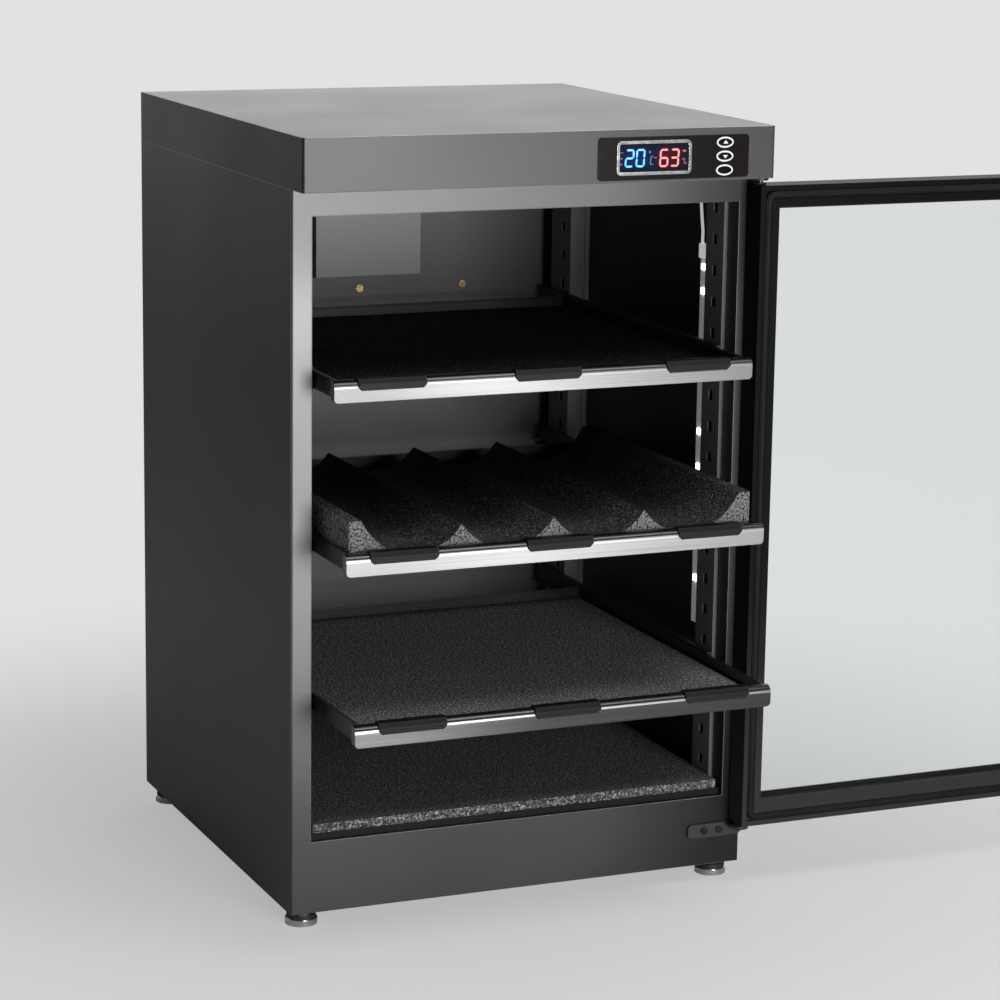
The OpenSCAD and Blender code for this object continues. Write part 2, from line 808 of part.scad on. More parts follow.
module display_bezel() {
    color(colour_chrome)
    difference() {
        round_plate(bezel_x0, bezel_x0 + bezel_w, bezel_z0, bezel_z0 + bezel_h,
                    fascia_y - bezel_proud, fascia_y, bezel_r);
        block([bezel_x0 + bezel_ring, fascia_y - bezel_proud - cut, bezel_z0 + bezel_ring],
              [bezel_x0 + bezel_w - bezel_ring, fascia_y + cut, bezel_z0 + bezel_h - bezel_ring]);
    }
}

module display_window() {
    color("midnightblue")
    block([bezel_x0 + bezel_ring, fascia_y - bezel_proud + window_setback, bezel_z0 + bezel_ring],
          [bezel_x0 + bezel_w - bezel_ring, board_y, bezel_z0 + bezel_h - bezel_ring]);
}

module button_rings() {
    color(colour_chrome)
    for (k = button_places)
        difference() {
            oval_disc(button_px, middle_z + k * button_pitch, ring_w, ring_h, fascia_y - ring_proud,
                      fascia_y);
            oval_disc(button_px, middle_z + k * button_pitch, button_w + 2 * gap, button_h + 2 * gap,
                      fascia_y - ring_proud - cut, fascia_y + cut);
        }
}

module push_button(place) {
    z = middle_z + place * button_pitch;
    back = cap_front_y + gap;
    color(colour_rubber) {
        oval_disc(button_px, z, button_w, button_h, fascia_y - ring_proud - button_proud, back);
        oval_disc(button_px, z, button_w + 2 * gap + 2 * button_flange,
                  button_h + 2 * gap + 2 * button_flange,
                  back, back + button_flange_t);
        rod_y(button_px, z, button_stem_r, back + button_flange_t, board_y - button_travel - gap);
    }
}

module control_board() {
    color("darkgreen")
    block([board_x0, board_y, fascia_z0 + fascia_lip + gap],
          [board_x1, board_y + board_t, fascia_z1 - fascia_lip - gap]);
}

// Light

led_y = front_y + strip_y;

module led_strip() {
    color(colour_white)
    block([inner_x - led_strip_t, led_y - strip_w / 2, strip_z],
          [inner_x, led_y + strip_w / 2, strip_z + strip_l]);
}

module led_chips() {
    color("ivory")
    for (share = led_shares)
        translate([inner_x - led_strip_t - led_t, led_y - led_size / 2,
                   strip_z + strip_l * share - led_size / 2])
            cube([led_t, led_size, led_size]);
}

module led_connector() {
    z0 = strip_z + strip_l;
    color(colour_white)
    block([inner_x - connector_d, led_y - connector_w / 2, z0],
          [inner_x, led_y + connector_w / 2, z0 + connector_h]);
}

lead_x = inner_x - lead_inset;
lead_y = led_y + lead_offset;
lead_z = strip_z + strip_l + connector_h;
hole_x = inner_x - lead_side_gap;
hole_y = led_y + lead_forward;
lead_end_x = fascia_x + lead_end_offset;
lead_end_y = board_y + board_t;
// Route of the light's lead, from its connector up through the ceiling and forward to the control board
lead_route = concat(
    [for (share = lead_up) [
        lead_x + (hole_x - lead_x) * share[0],
        lead_y + (hole_y - lead_y) * share[0],
        lead_z + (ceiling_z - lead_z) * share[1]]],
    [for (share = lead_over) [
        hole_x + (lead_end_x - hole_x) * share[0],
        hole_y + (lead_end_y - hole_y) * share[1],
        ceiling_z + lead_height * share[2]]]);

function unit(v) = v / norm(v);
function along(k) = unit(lead_route[min(k + 1, len(lead_route) - 1)] - lead_route[max(k - 1, 0)]);
// A frame carried along the route without twist
function next_side(side, d) = unit(side - (side * d) * d);
function sides_to(k) = k == 0 ? [next_side([1, 0, 0], along(0))]
    : let (before = sides_to(k - 1)) concat(before, [next_side(before[k - 1], along(k))]);
lead_frames = sides_to(len(lead_route) - 1);

module led_lead() {
    rings = len(lead_route);
    points = [for (k = [0:rings - 1]) for (a = [0:lead_sides - 1])
        let (turn = 360 * a / lead_sides)
        lead_route[k] + lead_r * (cos(turn) * lead_frames[k] + sin(turn) * cross(along(k), lead_frames[k]))];
    walls = [for (k = [0:rings - 2]) for (a = [0:lead_sides - 1])
        let (b = (a + 1) % lead_sides, low = k * lead_sides, high = low + lead_sides)
        [low + a, high + a, high + b, low + b]];
    ends = [[for (a = [0:lead_sides - 1]) a],
            [for (a = [lead_sides - 1:-1:0]) (rings - 1) * lead_sides + a]];
    color(colour_white) polyhedron(points = points, faces = concat(walls, ends), convexity = 4);
}

// Floor mat

module floor_foam() {
    color(colour_foam)
    block([-post_x + gap, front_y + floor_inset, floor_z],
          [post_x - gap, back_face_y - mat_gap, floor_z + mat_t]);
}

// Shelves

front_slot_y = front_y + front_post_y + slot_inset;
rear_slot_y = back_y - rear_post_gap - rear_post_d + slot_inset;
half_tray = tray_w / 2;

function slot_z(slot) = first_slot_z + slot * slot_pitch;
function shelf_y(draw) = front_y + bar_home - draw;

module tray(slot, draw) {
    inside = half_tray - tray_t;
    color(colour_inside)
    translate([0, shelf_y(draw), slot_z(slot)])
    difference() {
        block([-half_tray, bar_d, tray_z], [half_tray, tray_d, bar_h]);
        block([-inside, bar_d + tray_t, tray_z + tray_t], [inside, tray_d - tray_t, bar_h - hem_t]);
        block([-inside + hem_t, bar_d + tray_t, bar_h - hem_t - cut],
              [inside - hem_t, tray_d - tray_t - hem_t, bar_h + cut]);
    }
}

module bar_profile() {
    difference() {
        square([bar_d, bar_h]);
        translate([0, bar_h - bar_r]) square([bar_r, bar_r]);
    }
    intersection() {
        translate([bar_r, bar_h - bar_r]) circle(r = bar_r);
        translate([0, bar_h - bar_r]) square([bar_r, bar_r]);
    }
}

// Where the clips sit: the notch's outline across the bar, grown by an amount all round
module clip_outline(grow) {
    low = clip_w / 2 - clip_slant;
    high = clip_w / 2;
    top = bar_h + clip_proud;
    polygon([[-low - grow, clip_floor - grow], [low + grow, clip_floor - grow],
             [high + grow, clip_floor + clip_slant - grow], [high + grow, top + grow],
             [-high - grow, top + grow], [-high - grow, clip_floor + clip_slant - grow]]);
}

module bar(slot, draw) {
    color(colour_satin)
    translate([0, shelf_y(draw), slot_z(slot)])
    difference() {
        translate([-bar_w / 2, 0, 0]) rotate([90, 0, 90]) linear_extrude(bar_w) bar_profile();
        // Rounded lower corners
        for (side = [-1, 1])
            difference() {
                translate([side * (bar_w - bar_corner_r + cut) / 2, bar_d / 2, (bar_corner_r - cut) / 2])
                    cube([bar_corner_r + cut, bar_d + 2 * cut, bar_corner_r + cut], center = true);
                rod_y(side * (bar_w / 2 - bar_corner_r), bar_corner_r, bar_corner_r, -2 * cut,
                      bar_d + 2 * cut);
            }
        for (k = clip_centres)
            translate([k * clip_pitch, bar_d + cut, 0]) rotate([90, 0, 0])
                linear_extrude(bar_d + 2 * cut) clip_outline(0);
    }
}

// A clip is a cap over the bar's notch, narrower than the notch at both ends
module clips(slot, draw) {
    top = bar_h + clip_proud;
    color(colour_rubber)
    translate([0, shelf_y(draw), slot_z(slot)])
    for (k = clip_centres)
        translate([k * clip_pitch, 0, 0]) {
            intersection() {
                translate([-clip_w / 2, 0, 0]) rotate([90, 0, 90]) linear_extrude(clip_w)
                    polygon([[-clip_front, clip_floor], [bar_d, clip_floor], [bar_d, bar_h],
                             [clip_back, bar_h],
                             [clip_back, top], [clip_proud + clip_slant, top],
                                     [clip_proud, top - clip_proud / 2],
                             [-clip_front, bar_h - clip_slant]]);
                translate([0, clip_back + cut, 0]) rotate([90, 0, 0])
                    linear_extrude(clip_back + 2 * cut) clip_outline(-clip_play / 2);
            }
            block([-clip_w / 2 + 2 * clip_slant, 0, clip_floor],
                  [clip_w / 2 - 2 * clip_slant, bar_d, clip_floor + clip_slant]);
        }
}

module flat_foam(slot, draw) {
    half = half_tray - tray_t - hem_t - foam_play / 2;
    color(colour_foam)
    translate([0, shelf_y(draw), slot_z(slot) + tray_z + tray_t])
        block([-half, bar_d + tray_t + foam_play / 2, 0],
              [half, tray_d - tray_t - hem_t - foam_play / 2, flat_foam_t]);
}

module wave_foam(slot, draw) {
    half = half_tray - tray_t - hem_t - foam_play / 2;
    rise = crest_h - cradle_floor;
    reach = pow((wave_h + cut - cradle_floor) / rise, 1 / cradle_power);
    color(colour_foam)
    translate([0, shelf_y(draw) + wave_inset, slot_z(slot) + tray_z + tray_t])
    difference() {
        block([-half, 0, 0], [half, wave_l, wave_h]);
        for (k = cradle_sides)
            translate([k * cradle_pitch, wave_l + cut, 0]) rotate([90, 0, 0])
                linear_extrude(wave_l + 2 * cut)
                    polygon([for (i = [-cradle_steps:cradle_steps])
                                 let (share = reach * i / cradle_steps)
                                 [share * cradle_pitch / 2,
                                  cradle_floor + rise * pow(abs(share), cradle_power)]]);
    }
}

// A pair of runners: each a channel round the tray's edge, hooked in the front and the rear post
module runners(slot) {
    web_x = post_x - runner_play - runner_t;
    z0 = tray_z - gap - runner_t;
    z1 = bar_h + gap + runner_t;
    y0 = front_y + runner_start;
    y1 = back_face_y - runner_end_gap;
    color(colour_inside)
    translate([0, 0, slot_z(slot)])
    for (side = [0, 1])
        mirror([side, 0, 0]) {
            block([web_x, y0, z0], [web_x + runner_t, y1, z1]);
            block([web_x - runner_leg, y0, z0], [web_x, y1, z0 + runner_t]);
            block([web_x - runner_top_leg, y0, z1 - runner_t], [web_x, y1, z1]);
            for (y = [front_slot_y, rear_slot_y])
                block([web_x, y - hook_d / 2, -hook_h / 2],
                      [web_x + runner_t + hook_reach, y + hook_d / 2, hook_h / 2]);
        }
}

// Hinges

bracket_x1 = hinge_x + bracket_end;
bracket_x0 = bracket_x1 - bracket_w;
bracket_z1 = door_z0 - gap - bush_flange_t - gap;
bracket_z0 = bracket_z1 - bracket_h;
top_bracket_z = top_z - bracket_t;

module hinge_bracket_bottom() {
    color(colour_case)
    difference() {
        union() {
            round_plate(bracket_x0, bracket_x1, bracket_z0, bracket_z1, front_y - bracket_t, front_y,
                        bracket_r);
            block([bracket_x1 - bracket_r - cut, front_y - bracket_t, bracket_z1 - bracket_r - cut],
                  [bracket_x1, front_y, bracket_z1]);
            block([bracket_x1 - ear_w, hinge_y, bracket_z1 - bracket_t], [bracket_x1, front_y, bracket_z1]);
            translate([hinge_x, hinge_y, bracket_z1 - bracket_t])
                cylinder(r = ear_reach - run_gap, h = bracket_t);
        }
        translate([hinge_x, hinge_y, bracket_z1 - bracket_t - cut])
            cylinder(r = pin_r + run_gap, h = bracket_t + 2 * cut);
        for (x = hinge_screw_xs)
            rod_y(x, bracket_screw_z, hinge_screw_shank + run_gap, front_y - bracket_t - cut,
                  front_y + cut);
    }
}

module hinge_bracket_top() {
    color(colour_case)
    difference() {
        union() {
            block([bracket_x1 - ear_w, hinge_y, top_bracket_z], [bracket_x1, front_y - gap, top_z]);
            translate([hinge_x, hinge_y, top_bracket_z]) cylinder(r = ear_reach - run_gap, h = bracket_t);
        }
        translate([hinge_x, hinge_y, top_bracket_z - cut])
            cylinder(r = pin_r + run_gap, h = bracket_t + 2 * cut);
    }
}

hinge_screw_xs = [bracket_x0 + hinge_screw_first, bracket_x0 + hinge_screw_first + hinge_screw_pitch];
bracket_screw_z = (bracket_z0 + bracket_z1) / 2;

module hinge_pins() {
    color(colour_chrome) {
        translate([hinge_x, hinge_y, bracket_z1 - bracket_t - pin_head_h])
            cylinder(r = pin_head_r, h = pin_head_h);
        translate([hinge_x, hinge_y, bracket_z1 - bracket_t]) cylinder(r = pin_r, h = bracket_t + pin_l);
        translate([hinge_x, hinge_y, top_z - bracket_t - pin_l]) cylinder(r = pin_r, h = bracket_t + pin_l);
    }
}

module hinge_screws() {
    color(colour_chrome)
    for (x = hinge_screw_xs) {
        rod_y(x, bracket_screw_z, hinge_screw_r, front_y - bracket_t - hinge_screw_head,
              front_y - bracket_t);
        rod_y(x, bracket_screw_z, hinge_screw_shank, front_y - bracket_t, front_y);
    }
}

module hinge_bush(flange_z, up) {
    translate([hinge_x, hinge_y, flange_z]) mirror([0, 0, up ? 0 : 1])
    difference() {
        union() {
            cylinder(r = bush_flange_r, h = bush_flange_t);
            cylinder(r = bush_r, h = bush_flange_t + bush_l);
        }
        translate([0, 0, -cut]) cylinder(r = pin_r + run_gap, h = bush_flange_t + bush_l + 2 * cut);
    }
}

module hinge_bushes() {
    color(colour_satin) {
        hinge_bush(door_z0 - gap - bush_flange_t, true);
        hinge_bush(door_z1 + gap + bush_flange_t, false);
    }
}

// Door: u runs from the hinge edge, v from the outer face to the inner face

slot_x = glass_t + 2 * glazing_side;
slot_v0 = door_t * glass_depth_share - slot_x / 2;
slot_v1 = slot_v0 + slot_x;
seat = glass_bite + glass_play;

// A box in door places: u and z as they are, v counted towards the front
module door_block(u0, u1, v0, v1, z0, z1) {
    block([door_x0 + u0, door_y0 - v1, z0], [door_x0 + u1, door_y0 - v0, z1]);
}

// A ring in door places, between two distances in from the door's outline
module door_ring(out, in, v0, v1, low_extra) {
    difference() {
        door_block(out, door_w - out, v0, v1, door_z0 + out + low_extra, door_z1 - out);
        door_block(in, door_w - in, v0 - cut, v1 + cut, door_z0 + in + low_extra, door_z1 - in);
    }
}

// All four members before they are cut to their mitres
module door_frame_solid() {
    difference() {
        door_block(0, door_w, 0, door_t, door_z0, door_z1);
        door_block(door_stile, door_w - door_stile, -cut, door_t + cut,
                   door_z0 + door_bottom_rail, door_z1 - door_top_rail);
        // Groove for the gasket in the inner face
        door_ring(groove_edge, groove_edge + groove_w, door_t - groove_d, door_t + cut, 0);
        // Slot for the glass and its seal
        door_block(door_stile - seat, door_w - door_stile + seat, slot_v0, slot_v1,
                   door_z0 + door_bottom_rail - seat, door_z1 - door_top_rail + seat);
        // Bores for the hinge bushes
        for (z = [door_z0 - cut, door_z1 - bush_l - bush_depth_play])
            translate([hinge_x, hinge_y, z])
                cylinder(r = bush_r + run_gap, h = bush_l + bush_depth_play + cut);
    }
}

// The front view of one member, from corner to corner, mitred
module member_outline(points) {
    translate([door_x0, door_y0 + cut, 0]) rotate([90, 0, 0]) linear_extrude(door_t + 2 * cut)
        polygon(points);
}

mitre_low = door_z0 + door_bottom_rail;
mitre_high = door_z1 - door_top_rail;

module door_stile_hinge() {
    color(colour_case)
    intersection() {
        door_frame_solid();
        member_outline([[0, door_z0], [door_stile, mitre_low], [door_stile, mitre_high], [0, door_z1]]);
    }
}

module door_stile_free() {
    color(colour_case)
    intersection() {
        door_frame_solid();
        member_outline([[door_w, door_z0], [door_w, door_z1], [door_w - door_stile, mitre_high],
                        [door_w - door_stile, mitre_low]]);
    }
}

module door_rail_top() {
    color(colour_case)
    intersection() {
        door_frame_solid();
        member_outline([[0, door_z1], [door_stile, mitre_high], [door_w - door_stile, mitre_high],
                        [door_w, door_z1]]);
    }
}

module door_rail_bottom() {
    color(colour_case)
    intersection() {
        door_frame_solid();
        member_outline([[0, door_z0], [door_w, door_z0], [door_w - door_stile, mitre_low],
                        [door_stile, mitre_low]]);
    }
}

module door_glass() {
    color(colour_glass)
    door_block(door_stile - glass_bite, door_w - door_stile + glass_bite,
               slot_v0 + glazing_side, slot_v1 - glazing_side,
               door_z0 + door_bottom_rail - glass_bite, door_z1 - door_top_rail + glass_bite);
}

module glazing_seal() {
    color(colour_rubber)
    difference() {
        door_block(door_stile - seat, door_w - door_stile + seat, slot_v0, slot_v1,
                   door_z0 + door_bottom_rail - seat, door_z1 - door_top_rail + seat);
        door_block(door_stile + glazing_lip, door_w - door_stile - glazing_lip, slot_v0 - cut,
                   slot_v1 + cut,
                   door_z0 + door_bottom_rail + glazing_lip, door_z1 - door_top_rail - glazing_lip);
        door_glass();
    }
}

module door_gasket() {
    middle = groove_edge + groove_w / 2;
    color(colour_rubber) {
        door_ring(middle - gasket_w / 2, middle + gasket_w / 2, door_t - groove_d * gasket_base_share,
                  door_t, 0);
        door_ring(middle - gasket_ridge_w / 2, middle + gasket_ridge_w / 2, door_t, door_t + gasket_proud,
                  0);
    }
}

side_panel(-1);  // left_side_panel
side_panel(1);  // right_side_panel
back_panel();
base_panel();
front_frame();
top_cap();
ceiling_panel();
slotted_posts();
module_cover();
desiccant_pack();
heater_plate();
vent_shutter();
rear_cover();
power_inlet();
panel_screws();
humidity_sensor();
control_fascia();
display_bezel();
display_window();
button_rings();
push_button(1);  // button_up
push_button(0);  // button_down
push_button(-1);  // button_set
control_board();
led_strip();
led_chips();
led_lead();
led_connector();
floor_foam();
hinge_bracket_bottom();
hinge_bracket_top();
hinge_pins();
hinge_screws();
hinge_bushes();
door_stile_hinge();
door_stile_free();
door_rail_top();
door_rail_bottom();
door_glass();
glazing_seal();
door_gasket();
foot(-1, -1);  // foot_front_left
foot(1, -1);  // foot_front_right
foot(-1, 1);  // foot_rear_left
foot(1, 1);  // foot_rear_right
tray(top_slot, top_draw);  // top_tray
bar(top_slot, top_draw);  // top_bar
clips(top_slot, top_draw);  // top_clips
flat_foam(top_slot, top_draw);  // top_foam
runners(top_slot);  // top_runners
tray(middle_slot, middle_draw);  // middle_tray
bar(middle_slot, middle_draw);  // middle_bar
clips(middle_slot, middle_draw);  // middle_clips
wave_foam(middle_slot, middle_draw);  // middle_foam
runners(middle_slot);  // middle_runners
tray(bottom_slot, bottom_draw);  // bottom_tray
bar(bottom_slot, bottom_draw);  // bottom_bar
clips(bottom_slot, bottom_draw);  // bottom_clips
flat_foam(bottom_slot, bottom_draw);  // bottom_foam
runners(bottom_slot);  // bottom_runners
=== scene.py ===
# %% [markdown]
# # Camera dry cabinet
# A steel cabinet that keeps cameras and lenses dry: a glass door folded back, three drawn-out shelves lined
# with foam, a light strip and a humidity panel. The hard parts come from the CAD model as a fixed frame, and
# this file dresses them. It adds what CAD shapes poorly: foam, rubber seals, the lead, the lit digits.

# %% Loading the frame
import math

import bmesh
import bpy
from mathutils import Matrix, Vector


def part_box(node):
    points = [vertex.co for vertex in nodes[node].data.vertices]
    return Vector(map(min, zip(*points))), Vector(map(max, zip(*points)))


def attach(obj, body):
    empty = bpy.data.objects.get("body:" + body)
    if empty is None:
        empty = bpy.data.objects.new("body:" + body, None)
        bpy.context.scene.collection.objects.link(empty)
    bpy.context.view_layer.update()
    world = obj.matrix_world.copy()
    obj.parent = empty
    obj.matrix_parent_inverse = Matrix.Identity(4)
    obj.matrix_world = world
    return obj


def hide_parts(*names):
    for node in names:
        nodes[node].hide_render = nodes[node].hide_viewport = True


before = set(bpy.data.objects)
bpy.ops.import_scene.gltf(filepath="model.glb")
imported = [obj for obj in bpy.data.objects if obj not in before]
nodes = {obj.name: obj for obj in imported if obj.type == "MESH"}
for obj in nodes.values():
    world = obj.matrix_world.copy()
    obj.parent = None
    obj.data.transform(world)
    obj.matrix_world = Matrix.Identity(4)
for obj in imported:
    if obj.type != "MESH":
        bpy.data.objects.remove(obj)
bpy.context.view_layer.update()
scene = bpy.context.scene

# %% [markdown]
# The camera stands in front of the cabinet, to its left and a little higher, and looks slightly down. Its
# angles were found by fitting known corners of the cabinet to the photograph. A camera could also be aimed
# with a Track To constraint, but turning the fitted angles into three axes keeps the small roll as well.

# %% Camera
CAMERA_PLACE = Vector((-1.0183, -2.5168, 0.876))
YAW = math.radians(23.2)
PITCH = math.radians(-11.97)
ROLL = math.radians(0.85)
FOCAL_LENGTH = 116.45
SENSOR_WIDTH = 36

forward = Vector((math.sin(YAW) * math.cos(PITCH), math.cos(YAW) * math.cos(PITCH), math.sin(PITCH)))
level = Vector((math.cos(YAW), -math.sin(YAW), 0))
upward = level.cross(forward)
camera_x = math.cos(ROLL) * level + math.sin(ROLL) * upward
camera_y = math.cos(ROLL) * upward - math.sin(ROLL) * level

lens = bpy.data.cameras.new("camera")
lens.lens = FOCAL_LENGTH
lens.sensor_width = SENSOR_WIDTH
camera = bpy.data.objects.new("camera", lens)
turned = Matrix((camera_x, camera_y, -forward)).transposed().to_4x4()
camera.matrix_world = Matrix.Translation(CAMERA_PLACE) @ turned
scene.collection.objects.link(camera)
scene.camera = camera
scene.view_settings.view_transform = "Standard"
print("camera at", [round(v, 3) for v in camera.location], "with a lens of", lens.lens, "mm")

# %% [markdown]
# Shader maths reads best as plain expressions. A link is a small wrapper round an output socket: adding,
# multiplying or comparing two of them puts the matching Math node in the tree. The class below it holds one
# material and has a single method for every other kind of node, so each finish stays a few readable lines.

# %% Sockets as numbers
EDGE_STARTS = 0.995
EDGE_FULL = 0.8


class Link:
    def __init__(self, finish, socket):
        self.finish = finish
        self.socket = socket

    def maths(self, operation, first, second):
        return self.finish.node("ShaderNodeMath", {"operation": operation}, {0: first, 1: second})

    def __add__(self, other):
        return self.maths("ADD", self, other)

    def __sub__(self, other):
        return self.maths("SUBTRACT", self, other)

    def __rsub__(self, other):
        return self.maths("SUBTRACT", other, self)

    def __mul__(self, other):
        return self.maths("MULTIPLY", self, other)

    def __truediv__(self, other):
        return self.maths("DIVIDE", self, other)

    def __gt__(self, other):
        return self.maths("GREATER_THAN", self, other)

    def __lt__(self, other):
        return self.maths("LESS_THAN", self, other)


class Finish:
    def __init__(self, name, **plain):
        self.material = bpy.data.materials.new(name)
        self.material.use_nodes = True
        self.tree = self.material.node_tree
        self.shader = self.tree.nodes["Principled BSDF"]
        self.set(**plain)

    def set(self, **values):
        for name, value in values.items():
            self.put(self.shader.inputs[name.replace("_", " ").title().replace("Ior", "IOR")], value)

    def put(self, socket, value):
        if isinstance(value, Link):
            self.tree.links.new(value.socket, socket)
        elif isinstance(value, tuple) and len(value) == 3 and socket.type == "RGBA":
            socket.default_value = (*value, 1)
        else:
            socket.default_value = value

    def node(self, kind, settings=None, inputs=None, output=0):
        made = self.tree.nodes.new(kind)
        for name, value in (settings or {}).items():
            if name == "stops":
                ramp = made.color_ramp.elements
                while len(ramp) < len(value):
                    ramp.new(1)
                for stop, (place, colour) in zip(ramp, value):
                    stop.position = place
                    stop.color = (*colour, 1)
            else:
                setattr(made, name, value)
        for name, value in (inputs or {}).items():
            self.put(made.inputs[name], value)
        return Link(self, made.outputs[output])

    def place(self, scale=(1, 1, 1)):
        where = self.node("ShaderNodeTexCoord", output="Object")
        return self.node("ShaderNodeMapping", inputs={"Vector": where, "Scale": scale})

    def axis(self, letter):
        return self.node("ShaderNodeSeparateXYZ", inputs={0: self.place()}, output="XYZ".index(letter))

    def facing(self, letter):
        normal = self.node("ShaderNodeNewGeometry", output="Normal")
        return self.node("ShaderNodeSeparateXYZ", inputs={0: normal}, output="XYZ".index(letter))

    def noise(self, scale, detail=2, stretch=(1, 1, 1)):
        inputs = {"Vector": self.place(stretch), "Scale": scale, "Detail": detail}
        return self.node("ShaderNodeTexNoise", inputs=inputs)

    def ramp(self, value, start, end, low=0, high=1):
        settings = {"interpolation_type": "SMOOTHSTEP"}
        return self.node("ShaderNodeMapRange", settings,
                         {"Value": value, "From Min": start, "From Max": end, "To Min": low, "To Max": high})

    def mix(self, share, first, second):
        return self.node("ShaderNodeMix", {"data_type": "RGBA"}, {0: share, 6: first, 7: second}, output=2)

    def rounding(self, radius):
        return self.node("ShaderNodeBevel", {"samples": 4}, {"Radius": radius})

    def edges(self, radius):
        sharp = self.node("ShaderNodeNewGeometry", output="Normal")
        bent = self.node("ShaderNodeVectorMath", {"operation": "DOT_PRODUCT"},
                         {0: self.rounding(radius), 1: sharp}, output="Value")
        return self.ramp(bent, EDGE_STARTS, EDGE_FULL)

    def bump(self, height, strength, distance, normal=None):
        inputs = {"Height": height, "Strength": strength, "Distance": distance}
        if normal is not None:
            inputs["Normal"] = normal
        return self.node("ShaderNodeBump", inputs=inputs)


print("sockets take + - * / < > and Finish holds one material")

# %% [markdown]
# The white lead of the light strip is a thin, limp wire held at both ends: in the strip's connector and
# at the control board. A cord is easiest as a curve with a round bevel: its points are the route, and the
# bevel depth is its radius. The curve is turned into a mesh at once, so that its box is the tube's own.
# The first points leave the connector straight up, and the rest goes through the ceiling's hole and
# forward to the board.

# %% Lead of the light strip
LEAD_DIAMETER = 0.0025
LEAD_ROUNDS = 4
LEAD_STEPS = 6
LEAD_ROUTE = [
    (0.1960, -0.1060, 0.5270), (0.1960, -0.1060, 0.5323), (0.1960, -0.1060, 0.5382),
    (0.1955, -0.1055, 0.5448), (0.1950, -0.1050, 0.5533), (0.1945, -0.1045, 0.5619),
    (0.1940, -0.1040, 0.5717), (0.1940, -0.1040, 0.5823), (0.1940, -0.1040, 0.5902),
    (0.1940, -0.1040, 0.5970), (0.1929, -0.1051, 0.6030), (0.1901, -0.1083, 0.6080),
    (0.1859, -0.1137, 0.6110), (0.1811, -0.1234, 0.6120), (0.1761, -0.1342, 0.6120),
    (0.1719, -0.1461, 0.6120), (0.1691, -0.1580, 0.6120), (0.1671, -0.1699, 0.6120),
    (0.1660, -0.1818, 0.6120), (0.1660, -0.1936, 0.6120), (0.1660, -0.2044, 0.6120),
    (0.1660, -0.2120, 0.6120),
]

route = bpy.data.curves.new("light_lead", "CURVE")
route.dimensions = "3D"
route.bevel_depth = LEAD_DIAMETER / 2
route.bevel_resolution = LEAD_ROUNDS
route.use_fill_caps = True
route.resolution_u = LEAD_STEPS
wire = route.splines.new("BEZIER")
wire.bezier_points.add(len(LEAD_ROUTE) - 1)
for knot, where in zip(wire.bezier_points, LEAD_ROUTE):
    knot.co = where
    knot.handle_left_type = knot.handle_right_type = "AUTO"
drawn = bpy.data.objects.new("lead_route", route)
scene.collection.objects.link(drawn)
tube = bpy.data.meshes.new_from_object(drawn.evaluated_get(bpy.context.evaluated_depsgraph_get()))
bpy.data.objects.remove(drawn)
tube.shade_smooth()
lead = bpy.data.objects.new("light_lead", tube)
scene.collection.objects.link(lead)
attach(lead, "cabinet")
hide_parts("led_lead")

# %% [markdown]
# A photographer would put the cabinet on a sheet of pale paper that curves up behind it, so that no line
# shows where floor meets wall. The same sheet works here: a grid for the floor, its far edge spun up a
# quarter turn, then extruded to a wall. Near the cabinet the paper is an ordinary matte surface and
# catches its shadow. Farther away it turns into an even pale tone for the camera, the metal and the glass
# alone. From its back the paper is clear, so that it hides nothing when the cabinet is looked at from
# behind.

# %% Floor and backdrop
PAPER_HALF = 5.0
PAPER_BACK = 2.2
PAPER_CURVE = 1.0
PAPER_STEPS = 12
PAPER_UP = 4

sheet = bmesh.new()
made = bmesh.ops.create_grid(sheet, x_segments=1, y_segments=1, size=1)
for corner in made["verts"]:
    corner.co = (corner.co.x * PAPER_HALF, PAPER_BACK if corner.co.y > 0 else -PAPER_HALF, 0)
far_edge = [e for e in sheet.edges if all(v.co.y > 0 for v in e.verts)]
turned = bmesh.ops.spin(sheet, geom=far_edge, cent=(0, PAPER_BACK, PAPER_CURVE), axis=(1, 0, 0),
                        angle=math.pi / 2, steps=PAPER_STEPS)
top_edge = [e for e in turned["geom_last"] if isinstance(e, bmesh.types.BMEdge)]
raised = bmesh.ops.extrude_edge_only(sheet, edges=top_edge)
wall_top = [v for v in raised["geom"] if isinstance(v, bmesh.types.BMVert)]
bmesh.ops.translate(sheet, verts=wall_top, vec=(0, 0, PAPER_UP))
paper_mesh = bpy.data.meshes.new("paper")
sheet.to_mesh(paper_mesh)
sheet.free()
paper_mesh.shade_smooth()
paper = bpy.data.objects.new("paper", paper_mesh)
scene.collection.objects.link(paper)

PAPER_TONE = (0.76, 0.76, 0.75)
paper_finish = Finish("paper", base_color=PAPER_TONE, roughness=0.9)
distance = paper_finish.node("ShaderNodeVectorMath", {"operation": "LENGTH"}, {0: paper_finish.place()},
                             output="Value")
seen = paper_finish.node("ShaderNodeLightPath", output="Is Camera Ray")
shine = paper_finish.node("ShaderNodeLightPath", output="Is Glossy Ray")
through = paper_finish.node("ShaderNodeLightPath", output="Is Transmission Ray")
glow = paper_finish.node("ShaderNodeEmission", inputs={"Color": PAPER_TONE, "Strength": 1.0})
wall = paper_finish.ramp(paper_finish.axis("Z"), 0.05, 0.4)
even = (seen + through) * paper_finish.ramp(distance, 0.2, 1.0, 0.55, 1) + shine * wall
lit_paper = Link(paper_finish, paper_finish.shader.outputs[0])
cover = paper_finish.node("ShaderNodeMixShader", inputs={0: even, 1: lit_paper, 2: glow})
behind = paper_finish.node("ShaderNodeNewGeometry", output="Backfacing")
clear = paper_finish.node("ShaderNodeBsdfTransparent")
cover = paper_finish.node("ShaderNodeMixShader", inputs={0: behind, 1: cover, 2: clear})
